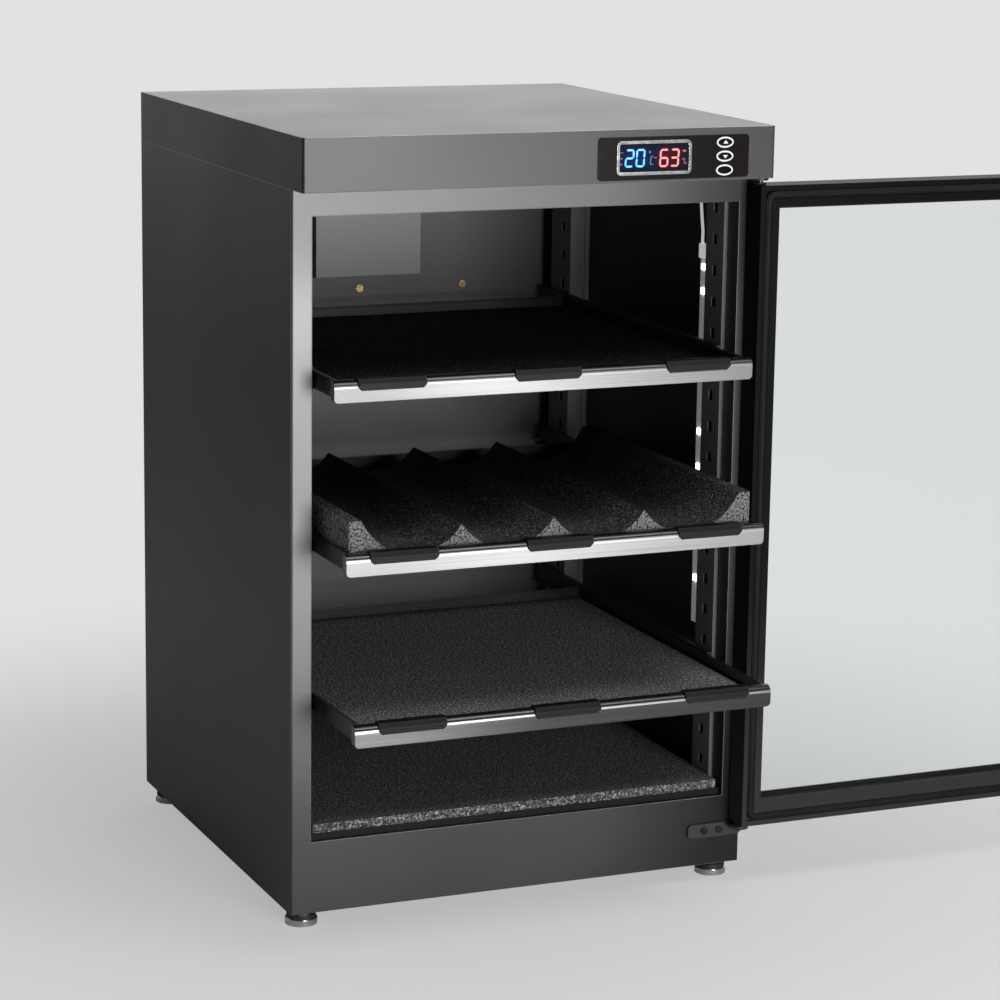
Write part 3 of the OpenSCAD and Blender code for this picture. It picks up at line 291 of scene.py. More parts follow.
paper_finish.tree.links.new(cover.socket, paper_finish.tree.nodes["Material Output"].inputs["Surface"])
paper_mesh.materials.append(paper_finish.material)
print("paper sheet with", len(paper_mesh.polygons), "faces")

# %% [markdown]
# One big soft lamp in front gives the front its brightness. A weaker one lights the lid from above and to the
# right, and a third lifts its rear from behind. The world adds an even, low light, as white walls would, and
# shows the paper's tone where the camera looks past the paper. Strengths were set against the photograph.

# %% Lights
def soft_lamp(name, place, aim, width, height, watts):
    lamp = bpy.data.lights.new(name, "AREA")
    lamp.shape = "RECTANGLE"
    lamp.size = width
    lamp.size_y = height
    lamp.energy = watts
    held = bpy.data.objects.new(name, lamp)
    held.location = place
    held.rotation_euler = (Vector(aim) - Vector(place)).to_track_quat("-Z", "Y").to_euler()
    scene.collection.objects.link(held)
    print(name, "at", place, "with", watts, "W")


soft_lamp("front_lamp", (0.25, -2.2, 0.42), (0.0, -0.2, 0.35), 0.8, 0.75, 32)
soft_lamp("top_lamp", (0.7, -0.9, 2.2), (0.1, -0.1, 0.3), 0.8, 0.8, 14)
soft_lamp("back_lamp", (0.75, 1.75, 1.1), (0.0, 0.0, 0.6), 1.8, 0.6, 5)

WORLD_STRENGTH = 0.16
world = bpy.data.worlds.new("studio")
world.use_nodes = True
sky = world.node_tree.nodes["Background"]
sky.inputs["Color"].default_value = (0.9, 0.92, 0.95, 1)
sky.inputs["Strength"].default_value = WORLD_STRENGTH
pale = world.node_tree.nodes.new("ShaderNodeBackground")
pale.inputs["Color"].default_value = (*PAPER_TONE, 1)
to_camera = world.node_tree.nodes.new("ShaderNodeLightPath")
either = world.node_tree.nodes.new("ShaderNodeMixShader")
for start, end in ((to_camera.outputs["Is Camera Ray"], either.inputs[0]),
                   (sky.outputs[0], either.inputs[1]), (pale.outputs[0], either.inputs[2]),
                   (either.outputs[0], world.node_tree.nodes["World Output"].inputs["Surface"])):
    world.node_tree.links.new(start, end)
scene.world = world

# %% [markdown]
# Powder coat covers the steel. The powder melts into a skin that is hard and satin, with the fine,
# shallow waves of orange peel. A noise texture as a bump gives the waves, a slow second noise makes one
# place a touch duller than the next, and a Bevel node rounds the folded edges in the shading so that they
# catch light. The same Bevel node finds the edges, and their tone is mixed towards another: pale wear on most
# paints, a painted highlight on the lid and the front frame, and a painted shadow line on the module cover.
# Each entry of the shading list is a source, its start and end, and the share of the tone at either. The
# source is an axis or the way that the surface faces, so one paint grows darker down a side or on a face:
# painted shade and light, as in the picture.

# %% Powder coat
BRIGHTEST = 1.4
EDGE_MARK_WIDTH = 0.0009
FOLD_RADIUS = 0.0012
PEEL_DEPTH = 0.0002


def powder_coat(name, tone, roughness, metallic=0.0, peel=0.12, edge=2.2, edge_wear_and_shading_share=0.35, painted_shading=(), mirror=0.5):
    finish = Finish(name, specular_ior_level=mirror)
    waves = finish.noise(620, detail=3)
    cloud = finish.noise(9, detail=2)
    grit = finish.ramp(finish.noise(2600, detail=1), 0.35, 0.75, 0.86, 1.12)
    share = grit * (cloud * 0.16 + 0.92)
    # Each shading entry scales the tone along an axis or a facing: painted shade and light.
    for source, start, end, first, last in painted_shading:
        along = finish.facing(source[-1]) if source.startswith("facing") else finish.axis(source)
        share = share * finish.ramp(along, start, end, first, last)
    base = finish.mix(share / BRIGHTEST, (0, 0, 0), tuple(c * BRIGHTEST for c in tone))
    # Edges mixed to the edge tone: pale wear on most paints, a painted highlight on the lid and front frame,
    # a painted shadow line on the module cover.
    edge_wear_and_shading = finish.edges(EDGE_MARK_WIDTH) * edge_wear_and_shading_share
    finish.set(base_color=finish.mix(edge_wear_and_shading, base, tuple(min(1, c * edge) for c in tone)),
               roughness=cloud * 0.1 + (roughness - 0.05), metallic=metallic,
               normal=finish.bump(waves, peel, PEEL_DEPTH, finish.rounding(FOLD_RADIUS)))
    return finish


# The sides are painted darker towards the top: painted shade.
case_paint = powder_coat("case_paint", (0.09, 0.09, 0.092), 0.42, metallic=0.7,
                         mirror=0.15, painted_shading=[("Z", 0.1, 0.6, 1.0, 0.22)])
# The lid's faces towards the left are painted nearly black and its front a little darker, painted shade; its
# edges get a strong painted highlight.
cap_paint = powder_coat("cap_paint", (0.09, 0.09, 0.092), 0.42, metallic=0.7, edge=7, edge_wear_and_shading_share=1, mirror=0.25,
                        painted_shading=[("facing X", -0.9, -0.6, 0.02, 1.0), ("facing Y", -0.9, -0.6, 0.78, 1.0)])
# The front frame is painted lighter at mid height and darker at the plinth, at the top and towards the right,
# painted light and shade; its edges get a strong painted highlight.
frame_paint = powder_coat("frame_paint", (0.11, 0.11, 0.112), 0.42, metallic=0.7, edge=6, edge_wear_and_shading_share=1,
                          painted_shading=[("Z", 0.06, 0.35, 0.6, 2.3), ("Z", 0.42, 0.57, 1.0, 0.42),
                                 ("X", 0.05, 0.19, 1.0, 0.3)])
post_paint = powder_coat("post_paint", (0.15, 0.15, 0.152), 0.42, peel=0.1)
# A darker tone of the same black paint for the inner parts: painted shade.
inner_paint = powder_coat("inner_paint", (0.022, 0.022, 0.023), 0.42, peel=0.1)
back_paint = powder_coat("back_paint", (0.09, 0.09, 0.092), 0.5, metallic=0.3, peel=0.1)
# The module cover is the same paint in a paler tone, painted light, and its edges are darkened to a painted
# shadow line.
lit_module_paint = powder_coat("lit_module_paint", (0.2, 0.2, 0.2), 0.5, metallic=0.3, peel=0.1, edge=0.05, edge_wear_and_shading_share=1)
pan_paint = powder_coat("pan_paint", (0.008, 0.008, 0.0083), 0.5, peel=0.1, mirror=0.15)
tray_paint = powder_coat("tray_paint", (0.014, 0.014, 0.015), 0.3, peel=0.06)
print("painted finishes:", [m.name for m in bpy.data.materials if m.name.endswith("paint")])

# %% [markdown]
# The door's members and the shelves' front bars are drawn metal. Drawing leaves fine lines along the length,
# so the noise is stretched until its grains become hairs. The door's black members are painted paler towards
# the floor, painted light. The bars are bare satin metal in front, and black where the surface faces up,
# masked by how far it faces up: on their rolled-back upper edge, and on the floors of the clip notches,
# where the black is painted shade. Just under the black, a band that faces a little upward is a painted
# highlight. In the picture each bar mirrors another part of the room: ramps over height and width make some
# stretches brighter, a painted reflection.

# %% Drawn metal
def drawn_metal(name, tone, roughness, metallic, hair, strength, mirror=0.5):
    finish = Finish(name, specular_ior_level=mirror)
    grain = finish.noise(1, detail=4, stretch=hair)
    cloud = finish.noise(14)
    # Near the floor the dark, unmetallic door members turn paler: painted light.
    low = finish.ramp(finish.axis("Z"), 0.05, 0.3, 1.0, 0.0)
    shown = finish.mix(grain, tuple(c * 0.8 for c in tone), tuple(min(1, c * 1.12) for c in tone))
    finish.set(base_color=finish.mix(low * (1 - metallic), shown, tuple(min(1, c * 10) for c in tone)),
               roughness=grain * 0.14 + cloud * 0.06 + (roughness - 0.1), metallic=metallic,
               normal=finish.bump(grain, strength, 0.0001, finish.rounding(0.0005)))
    return finish


LENGTHWAYS_X = (6, 2600, 2600)
LENGTHWAYS_Z = (2600, 2600, 6)
DOOR_BLACK = (0.003, 0.003, 0.0032)
door_rail = drawn_metal("door_rail_black", DOOR_BLACK, 0.5, 0.0, LENGTHWAYS_X, 0.15, mirror=0.08)
door_stile = drawn_metal("door_stile_black", DOOR_BLACK, 0.5, 0.0, LENGTHWAYS_Z, 0.15, mirror=0.08)
satin_plain = drawn_metal("satin_metal", (0.68, 0.69, 0.7), 0.34, 1.0, LENGTHWAYS_X, 0.2)

BLACK_STARTS = 0.34
BLACK_FULL = 0.46
bar_metal = Finish("bar_metal")
grain = bar_metal.noise(1, detail=4, stretch=LENGTHWAYS_X)
rounded = bar_metal.rounding(0.0006)
# Black where the surface faces up; on the floors of the clip notches this black is painted shade.
black_top = bar_metal.ramp(bar_metal.facing("Z"), BLACK_STARTS, BLACK_FULL)
bar_z = bar_metal.axis("Z")
# Brighter and darker stretches over height and width are a painted reflection of the room.
at_left = bar_metal.ramp(bar_z, 0.35, 0.4, 0.8, 0.42)
at_middle = bar_metal.ramp(bar_z, 0.24, 0.28, 0.24, 1.35) * bar_metal.ramp(bar_z, 0.35, 0.4, 1.0, 0.74)
lit_share = at_left + (at_middle - at_left) * bar_metal.ramp(bar_metal.axis("X"), -0.17, 0.0)
# A band facing a little upward, just under the black, gets a painted highlight.
painted_upper_highlight = bar_metal.ramp(bar_metal.facing("Z"), 0.04, 0.2) * 0.8
lit_share = lit_share * bar_metal.ramp(grain, 0.2, 0.8, 0.7, 1.0) + painted_upper_highlight
silver = bar_metal.mix(lit_share / BRIGHTEST, (0, 0, 0), (0.45, 0.455, 0.46))
bar_metal.set(base_color=bar_metal.mix(black_top, silver, (0.008, 0.008, 0.009)),
              metallic=1 - black_top, roughness=grain * 0.12 + 0.26 - black_top * 0.08,
              normal=bar_metal.bump(grain, 0.2, 0.0001, rounded))
print("metal finishes ready; bars are black above", BLACK_FULL, "of the surface's upward share")

# %% [markdown]
# Small bright parts are chromed or polished: almost mirrors, with a little haze and a few cloudy marks.
# Brushed hairs would be lost at their size, so a soft noise on the roughness is enough. A foot is chromed
# with a rubber ring round its pad, which is masked by height.

# %% Bright metal
def polished(name, tone, roughness, metallic=1.0):
    finish = Finish(name, metallic=metallic)
    haze = finish.noise(260, detail=3)
    finish.set(base_color=finish.mix(haze, tuple(c * 0.88 for c in tone), tone),
               roughness=haze * 0.14 + (roughness - 0.05),
               normal=finish.bump(haze, 0.08, 0.0001, finish.rounding(0.0003)))
    return finish


chrome = polished("chrome", (0.8, 0.81, 0.83), 0.16)
ring_silver = polished("ring_silver", (0.78, 0.78, 0.79), 0.4, metallic=0.2)
brass = polished("brass", (0.78, 0.58, 0.27), 0.24)
dark_screw = polished("screw_metal", (0.05, 0.05, 0.052), 0.2)

RUBBER_FROM = 0.0052
RUBBER_TO = 0.0092
foot_metal = Finish("foot_metal")
height = foot_metal.axis("Z")
rubber_zone = (height > RUBBER_FROM) * (height < RUBBER_TO)
haze = foot_metal.noise(240)
foot_metal.set(base_color=foot_metal.mix(rubber_zone, (0.74, 0.75, 0.77), (0.012, 0.012, 0.012)),
               metallic=1 - rubber_zone, roughness=haze * 0.12 + 0.14 + rubber_zone * 0.4,
               normal=foot_metal.bump(haze, 0.06, 0.0001, foot_metal.rounding(0.0006)))
print("bright finishes:", [f.material.name for f in (chrome, ring_silver, brass, dark_screw, foot_metal)])

# %% [markdown]
# Rubber and moulded plastic scatter light instead of mirroring it. Rubber is nearly black and dull, with a
# dusty grain. The clips that hold the foam are harder plastic: black, with a painted highlight along their
# edges. The white plastic of the light strip and its lead, and of the sensor, the connector and the
# desiccant pack, glows a little: painted light, in place of the light that the strip's lamps throw.

# %% Rubber and plastic
GRAIN_SCALE = 1400
DUST_SCALE = 35


def moulded(name, tone, roughness, strength=0.12, edge_highlight=0.0, rounding=0.0006, mirror=0.5):
    finish = Finish(name, specular_ior_level=mirror)
    grain = finish.noise(GRAIN_SCALE, detail=3)
    dust = finish.noise(DUST_SCALE, detail=2)
    base = finish.mix(finish.ramp(dust, 0.3, 0.75), tone, tuple(min(1, c * 1.3 + 0.002) for c in tone))
    # A paler tone along the edges: a painted highlight.
    if edge_highlight:
        pale = tuple(min(1, c * 3 + 0.04) for c in tone)
        base = finish.mix(finish.edges(rounding * 1.6) * edge_highlight, base, pale)
    finish.set(base_color=base, roughness=grain * 0.12 + (roughness - 0.06),
               normal=finish.bump(grain, strength, 0.0001, finish.rounding(rounding)))
    return finish


rubber = moulded("black_rubber", (0.006, 0.006, 0.006), 0.6, mirror=0.15)
clip_plastic = moulded("clip_plastic", (0.005, 0.005, 0.0053), 0.5, mirror=0.2, strength=0.2, edge_highlight=0.8,
                       rounding=0.0012)
white_plastic = moulded("white_plastic", (0.78, 0.78, 0.76), 0.45)
# These white parts and the strip's plastic glow though they are no lamps: painted light.
white_plastic.set(emission_color=(0.75, 0.8, 0.85), emission_strength=0.5)
strip_plastic = moulded("strip_plastic", (0.4, 0.4, 0.4), 0.4)
strip_plastic.set(emission_color=(0.12, 0.13, 0.14), emission_strength=1.0)
black_plastic = moulded("black_plastic", (0.016, 0.016, 0.016), 0.5, strength=0.25)
key_rubber = moulded("key_rubber", (0.003, 0.003, 0.003), 0.6, mirror=0.05)
board_green = moulded("board", (0.015, 0.1, 0.045), 0.5)
print("moulded finishes:", len((rubber, clip_plastic, white_plastic, strip_plastic, black_plastic, key_rubber,
                                board_green)))

# %% [markdown]
# The fascia is a black film behind a clear, glossy face, and the display behind it glows: blue round the
# temperature, red round the humidity. A ramp along the width gives those glows as a low emission, with its
# strength left at 1, so that the screen stays dark glass when it is off.

# %% Fascia and display glass
fascia_gloss = Finish("fascia_gloss", specular_ior_level=0.2)
film = fascia_gloss.noise(500, detail=2)
fascia_gloss.set(base_color=fascia_gloss.mix(film, (0.005, 0.0035, 0.003), (0.008, 0.006, 0.005)),
                 roughness=film * 0.06 + 0.2,
                 normal=fascia_gloss.bump(film, 0.03, 0.0001, fascia_gloss.rounding(0.0004)))

window_low, window_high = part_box("display_window")
screen_glass = Finish("screen_glass", roughness=0.12, specular_ior_level=0.2)
across = (screen_glass.axis("X") - window_low.x) / (window_high.x - window_low.x)
tall = (screen_glass.axis("Z") - window_low.z) / (window_high.z - window_low.z)
glow_colours = screen_glass.node("ShaderNodeValToRGB", {"stops": [
    (0.0, (0.004, 0.006, 0.03)), (0.18, (0.001, 0.022, 0.13)), (0.34, (0.001, 0.02, 0.12)),
    (0.5, (0.006, 0.008, 0.03)), (0.62, (0.09, 0.002, 0.008)), (0.8, (0.075, 0.001, 0.005)),
    (0.93, (0.008, 0.004, 0.014))]}, {0: across})
middle_glow = screen_glass.ramp(tall, 0.0, 0.4) * screen_glass.ramp(tall, 1.0, 0.65)
patches = screen_glass.noise(300, detail=1)
glow_share = middle_glow * (patches * 0.6 + 0.6)
screen_glass.set(base_color=screen_glass.mix(patches, (0.004, 0.004, 0.008), (0.008, 0.008, 0.014)),
                 emission_color=screen_glass.mix(glow_share, (0.003, 0.004, 0.010), glow_colours),
                 emission_strength=1.0)
print("display window is", round((window_high.x - window_low.x) * 1000, 1), "mm wide")

# %% [markdown]
# Lit segments are small lamps. Their colour alone carries the light: the numbers are as bright as the picture
# shows, a fine noise runs between two tones of one colour, and no lamp is put behind them.

# %% Lit parts
def lit(name, low, high, strength=1.0):
    finish = Finish(name, roughness=0.4, emission_strength=strength, base_color=(0.02, 0.02, 0.02))
    finish.set(emission_color=finish.mix(finish.ramp(finish.noise(420, detail=1), 0.3, 0.7), low, high))
    return finish


blue_light = lit("blue_light", (0.05, 0.5, 0.95), (0.25, 0.75, 1.0), 1.3)
red_light = lit("red_light", (0.9, 0.2, 0.2), (1.0, 0.42, 0.38), 1.3)
dim_light = lit("dim_light", (0.04, 0.16, 0.3), (0.12, 0.26, 0.42))
dim_red = lit("dim_red", (0.3, 0.08, 0.08), (0.45, 0.16, 0.14))
lamp_lens = lit("lamp_lens", (0.86, 0.94, 1.0), (1.0, 1.0, 1.0), 6.0)
mark_white = moulded("mark_white", (0.8, 0.8, 0.8), 0.5)
print("lit finishes:", len((blue_light, red_light, dim_light, dim_red, lamp_lens)))

# %% [markdown]
# The door is one pane of clear float glass. A glass finish is a Principled shader with full transmission
# and an index near 1.45. Real panes carry faint smears, so a large soft noise moves the roughness a hair
# above zero.

# %% Glass
pane_glass = Finish("pane_glass", base_color=(0.93, 0.97, 0.96), transmission_weight=1.0, ior=1.45)
smear = pane_glass.noise(11, detail=4)
pane_glass.set(roughness=pane_glass.ramp(smear, 0.55, 0.8, 0.0, 0.03))
print("glass finish ready")

# %% [markdown]
# Open-cell foam swallows light in its pores and glints on the cut cell walls. A Voronoi texture gives the
# cells in a bump, and a fine noise leaves dark pits, painted shade in the pores, and picks a few grains as
# pale glints, painted highlights. The top and the sides have a tone each, mixed by how far a face looks up:
# partly the broken cells of the cut faces, partly painted light and shade.

# %% Foam
CELL_SCALE = 620
PIT_SCALE = 560
LUMP_SCALE = 160
PAINTED_GLINT_TONE = (0.75, 0.75, 0.76)


def foam_finish(name, top, side, painted_glint):
    finish = Finish(name, specular_ior_level=0.2)
    cells = finish.node("ShaderNodeTexVoronoi", inputs={"Vector": finish.place(), "Scale": CELL_SCALE})
    fine = finish.noise(PIT_SCALE, detail=2)
    lumps = finish.noise(LUMP_SCALE, detail=3)
    # Grains picked as pale glints: painted highlights.
    chosen = finish.ramp(fine, 0.54, 0.66) * finish.ramp(lumps, 0.35, 0.6, 0.4, 1)
    # Top and side tones by how far a face looks up: partly cut cells, partly painted light and shade.
    face = finish.mix(finish.ramp(finish.facing("Z"), 0.15, 0.6), side, top)
    # Dark pits in the pores: painted shade.
    pore_shade = finish.mix(finish.ramp(fine, 0.5, 0.38), face, tuple(c * 0.25 for c in top))
    finish.set(base_color=finish.mix(chosen * painted_glint, pore_shade, PAINTED_GLINT_TONE),
               roughness=lumps * 0.1 + 0.85,
               normal=finish.bump(cells * 0.5 + fine, 0.5, 0.0005))
    return finish


# The top and bottom shelf pads are one foam, darker on the top shelf and paler on the bottom one as each is
# lit: painted shade and light.
shaded_shelf_foam = foam_finish("shaded_shelf_foam", (0.006, 0.006, 0.0063), (0.16, 0.16, 0.163), 0.12)
mat_foam = foam_finish("mat_foam", (0.12, 0.12, 0.122), (0.1, 0.1, 0.102), 0.5)
lit_low_foam = foam_finish("lit_low_foam", (0.2, 0.2, 0.203), (0.12, 0.12, 0.122), 1.0)
wave_finish = foam_finish("wave_foam", (0.04, 0.04, 0.041), (0.16, 0.16, 0.163), 0.22)
print("foam finishes:", len((shaded_shelf_foam, mat_foam, lit_low_foam, wave_finish)))

# %% [markdown]
# Every CAD node gets its finish here. Its shape isn't touched: the finish only goes into its material slot.
# Each node takes one finish, so a table of finishes and nodes is the shortest way.

# %% Dressing the CAD nodes
wardrobe = [
    (case_paint, "left_side_panel right_side_panel rear_cover"),
    (cap_paint, "top_cap"),
    (frame_paint, "front_frame"),
    (back_paint, "back_panel"),
    (pan_paint, "base_panel"),
    (inner_paint, "ceiling_panel vent_shutter top_runners middle_runners bottom_runners "
                  "hinge_bracket_bottom hinge_bracket_top"),
    (post_paint, "slotted_posts"),
    (lit_module_paint, "module_cover"),
    (tray_paint, "top_tray middle_tray bottom_tray"),
    (door_rail, "door_rail_top door_rail_bottom"),
    (door_stile, "door_stile_hinge door_stile_free"),
    (bar_metal, "top_bar middle_bar bottom_bar"),
    (satin_plain, "heater_plate"),
    (foot_metal, "foot_front_left foot_front_right foot_rear_left foot_rear_right"),
    (chrome, "display_bezel"),
    (ring_silver, "button_rings"),
    (dark_screw, "hinge_screws hinge_pins"),
    (brass, "panel_screws"),
    (clip_plastic, "top_clips middle_clips bottom_clips"),
    (key_rubber, "button_up button_down button_set"),
    (rubber, "glazing_seal door_gasket"),
    (mat_foam, "floor_foam"),
    (shaded_shelf_foam, "top_foam middle_foam bottom_foam"),
    (pane_glass, "door_glass"),
    (fascia_gloss, "control_fascia"),
    (screen_glass, "display_window"),
    (white_plastic, "humidity_sensor led_connector desiccant_pack led_lead"),
    (strip_plastic, "led_strip"),
    (lamp_lens, "led_chips"),
    (black_plastic, "power_inlet hinge_bushes"),
    (board_green, "control_board"),
]


def dress(mesh, finish):
    mesh.materials.clear()
    mesh.materials.append(finish.material)


for finish, names in wardrobe:
    for name in names.split():
        dress(nodes[name].data, finish)
dress(tube, white_plastic)
print("dressed", sum(len(names.split()) for _, names in wardrobe), "of", len(nodes), "nodes")

# %% [markdown]
# New pieces share their last steps: the finished bmesh becomes a mesh, gets smooth shading with sharp edges
# kept sharp, a finish and a body to ride on. One helper does this and prints what it made.

# %% A helper that finishes a piece
WELD = 0.00001


def settle(name, shape, finish, body, smooth_to=40):
    bmesh.ops.remove_doubles(shape, verts=shape.verts, dist=WELD)
    bmesh.ops.recalc_face_normals(shape, faces=shape.faces)
    mesh = bpy.data.meshes.new(name)
    shape.to_mesh(mesh)
    shape.free()
    mesh.shade_smooth()
    mesh.set_sharp_from_angle(angle=math.radians(smooth_to))
    dress(mesh, finish)
    piece = bpy.data.objects.new(name, mesh)
    scene.collection.objects.link(piece)
    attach(piece, body)
    size = " x ".join(f"{side * 1000:.1f}" for side in piece.dimensions)
    print(f"{name}: {len(mesh.polygons)} faces, {size} mm")
    return piece


def extruded(shape, faces, way):
    raised = bmesh.ops.extrude_face_region(shape, geom=faces)
    moved = [v for v in raised["geom"] if isinstance(v, bmesh.types.BMVert)]
    bmesh.ops.translate(shape, verts=moved, vec=way)


# %% [markdown]
# The floor mat and the two flat shelf pads are slabs cut from foam sheet. A cutting wheel leaves a clean
# but soft edge, and a pad never lies dead flat. A scaled cube gives the slab, a bevel softens its edges,
# and after its long edges are cut into short ones, the points of the top sink a little in a slow wave.

# %% Foam slabs
SLAB_CUTS = 23
LONG_EDGE = 0.1


def foam_slab(name, node, body, finish, edge, swell):
    low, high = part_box(node)
    shape = bmesh.new()
    cube = bmesh.ops.create_cube(shape, size=1)
    middle = (low + high) / 2
    bmesh.ops.scale(shape, verts=cube["verts"], vec=(high - low))
    bmesh.ops.translate(shape, verts=cube["verts"], vec=middle)
    bmesh.ops.bevel(shape, geom=shape.edges[:], offset=edge, offset_type="OFFSET", segments=3, profile=0.5,
                    affect="EDGES", material=-1)
    long_edges = [e for e in shape.edges if e.calc_length() > LONG_EDGE]
    bmesh.ops.subdivide_edges(shape, edges=long_edges, cuts=SLAB_CUTS, use_grid_fill=True)
    for point in shape.verts:
        if point.co.z > high.z - edge * 0.5:
            wave = math.sin(point.co.x * 41 + 1.3) * math.sin(point.co.y * 37 + 0.4)
            point.co.z += swell * (wave - 1) / 2
    pad = settle(name, shape, finish, body, smooth_to=60)
    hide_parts(node)


foam_slab("floor_mat_pad", "floor_foam", "cabinet", mat_foam, 0.0009, 0.0005)
foam_slab("top_shelf_pad", "top_foam", "top_shelf", shaded_shelf_foam, 0.0008, 0.0004)
foam_slab("bottom_shelf_pad", "bottom_foam", "bottom_shelf", lit_low_foam, 0.0008, 0.0004)

# %% [markdown]
# The middle shelf's foam is cut into four troughs that cradle lenses. Its cross-section could be typed in as
# a list of points, but every trough is the same curve, flat in the middle and steep at its crests, so a power
# of the distance from its middle draws it, as in the CAD model. The outline is then closed, filled, pulled
# through the depth of the tray, and its edges softened.

# %% Wave foam
CRADLE_PITCH = 0.0785
CRADLE_FLOOR = 0.0100
CREST_UP = 0.0285
CRADLES = 4
FLANK_POWER = 3
STEPS = 14
RIM_SOFT = 0.0007

wave_low, wave_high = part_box("middle_foam")
block_up = wave_high.z - wave_low.z
rise = CREST_UP - CRADLE_FLOOR
reach = ((block_up - CRADLE_FLOOR) / rise) ** (1 / FLANK_POWER)
outline = [(wave_low.x, 0), (wave_low.x, block_up)]
for k in range(CRADLES):
    start, end = (-reach if k == 0 else -1), (reach if k == CRADLES - 1 else 1)
    for step in range(STEPS + 1):
        share = start + (end - start) * step / STEPS
        across = (k - (CRADLES - 1) / 2 + share / 2) * CRADLE_PITCH
        outline.append((across, CRADLE_FLOOR + rise * abs(share) ** FLANK_POWER))
outline += [(wave_high.x, block_up), (wave_high.x, 0)]

shape = bmesh.new()
rim = [shape.verts.new((across, wave_low.y, wave_low.z + up)) for across, up in outline]
for here, after in zip(rim, rim[1:] + rim[:1]):
    shape.edges.new((here, after))
bmesh.ops.remove_doubles(shape, verts=shape.verts, dist=WELD)
end_face = bmesh.ops.contextual_create(shape, geom=shape.edges[:])["faces"]
extruded(shape, end_face, (0, wave_high.y - wave_low.y, 0))
rims = [e for e in shape.edges if len({round(v.co.y, 5) for v in e.verts}) == 1]
bmesh.ops.bevel(shape, geom=rims, offset=RIM_SOFT, offset_type="OFFSET", segments=2, profile=0.5,
                affect="EDGES", material=-1, clamp_overlap=True)
bmesh.ops.triangulate(shape, faces=[f for f in shape.faces if len(f.verts) > 4])
wave_pad = settle("wave_foam_pad", shape, wave_finish, "middle_shelf", smooth_to=35)
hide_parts("middle_foam")

# %% [markdown]
# The magnetic gasket runs round the door's inner face. It is one cross-section, with a lip, swept round a
# rectangle with soft corners. Extruding the section's edges along each side and spinning them a quarter turn
# at each corner keeps the section true all the way round. The seal that grips the pane is plain, and stays
# as the CAD model has it.

# %% Door gasket
CORNER_STEPS = 8


def swept_ring(name, node, section, corner, finish):
    low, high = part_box(node)
    back = high.y
    shape = bmesh.new()
    points = [shape.verts.new((low.x + corner, back - up, low.z + inward)) for inward, up in section]
    edges = [shape.edges.new((a, b)) for a, b in zip(points, points[1:] + points[:1])]
    sides = [(high.x - low.x - 2 * corner, (1, 0, 0)), (high.z - low.z - 2 * corner, (0, 0, 1)),
             (high.x - low.x - 2 * corner, (-1, 0, 0)), (high.z - low.z - 2 * corner, (0, 0, -1))]
    centres = [(high.x - corner, low.z + corner), (high.x - corner, high.z - corner),
               (low.x + corner, high.z - corner), (low.x + corner, low.z + corner)]
    for (length, way), (x, z) in zip(sides, centres):
        drawn = bmesh.ops.extrude_edge_only(shape, edges=edges)
        moved = [v for v in drawn["geom"] if isinstance(v, bmesh.types.BMVert)]
        bmesh.ops.translate(shape, verts=moved, vec=Vector(way) * length)
        ends = [e for e in drawn["geom"] if isinstance(e, bmesh.types.BMEdge)]
        turned = bmesh.ops.spin(shape, geom=ends, cent=(x, back, z), axis=(0, 1, 0), angle=-math.pi / 2,
                                steps=CORNER_STEPS)
        edges = [e for e in turned["geom_last"] if isinstance(e, bmesh.types.BMEdge)]
    ring = settle(name, shape, finish, "door", smooth_to=50)
    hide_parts(node)


gasket_low, gasket_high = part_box("door_gasket")
deep = gasket_high.y - gasket_low.y
GASKET_SECTION = [(0.0, 0.0), (0.0, deep - 0.0019), (0.0004, deep - 0.0012), (0.0010, deep - 0.0011),
                  (0.0015, deep - 0.0004), (0.0023, deep), (0.0038, deep), (0.0046, deep - 0.0004),
                  (0.0051, deep - 0.0011), (0.0057, deep - 0.0012), (0.0061, deep - 0.0019), (0.0061, 0.0)]
swept_ring("gasket_profile", "door_gasket", GASKET_SECTION, 0.009, rubber)

# %% [markdown]
# The display shows two numbers made of seven bars each. A bar is a flat six-sided plate with pointed ends: a
# circle of six points, stretched and extruded. Every number lights some of the seven, so a short table says
# which, and the same bar is turned upright or laid flat. The plates lean slightly, as on the real display.

# %% Digits
DIGIT_SIZE = Vector((0.0064, 0.0128))
BAR_T = 0.0016
BAR_GAP = 0.0003
LIT_DEPTH = 0.0001
LEAN = 0.06


def bars_of(figure):
    across, half = DIGIT_SIZE.x / 2, DIGIT_SIZE.y / 2
    everywhere = {"top": (0, half, 0), "mid": (0, 0, 0), "bottom": (0, -half, 0),
                  "upper_right": (across, half / 2, 1), "lower_right": (across, -half / 2, 1),
                  "upper_left": (-across, half / 2, 1), "lower_left": (-across, -half / 2, 1)}
    shown = {"2": "top upper_right mid lower_left bottom",
             "0": "top upper_right lower_right bottom lower_left upper_left",
             "6": "top upper_left mid lower_left lower_right bottom",
             "3": "top upper_right mid lower_right bottom"}
    return [everywhere[bar] for bar in shown[figure].split()]


def add_bar(shape, middle, length, thick, upright):
    plate = bmesh.ops.create_circle(shape, cap_ends=True, segments=6, radius=0.5)["verts"]
    for corner in plate:
        side = math.copysign(1, corner.co.y)
        tip = abs(corner.co.y) > 0.4
        corner.co = (side * length / 2 if tip else side * (length / 2 - thick / 2),
                     0 if tip else math.copysign(thick / 2, -corner.co.x), 0)
    if upright:
        bmesh.ops.rotate(shape, verts=plate, matrix=Matrix.Rotation(math.pi / 2, 3, "Z"))
    bmesh.ops.translate(shape, verts=plate, vec=(middle[0], middle[1], 0))
    return plate


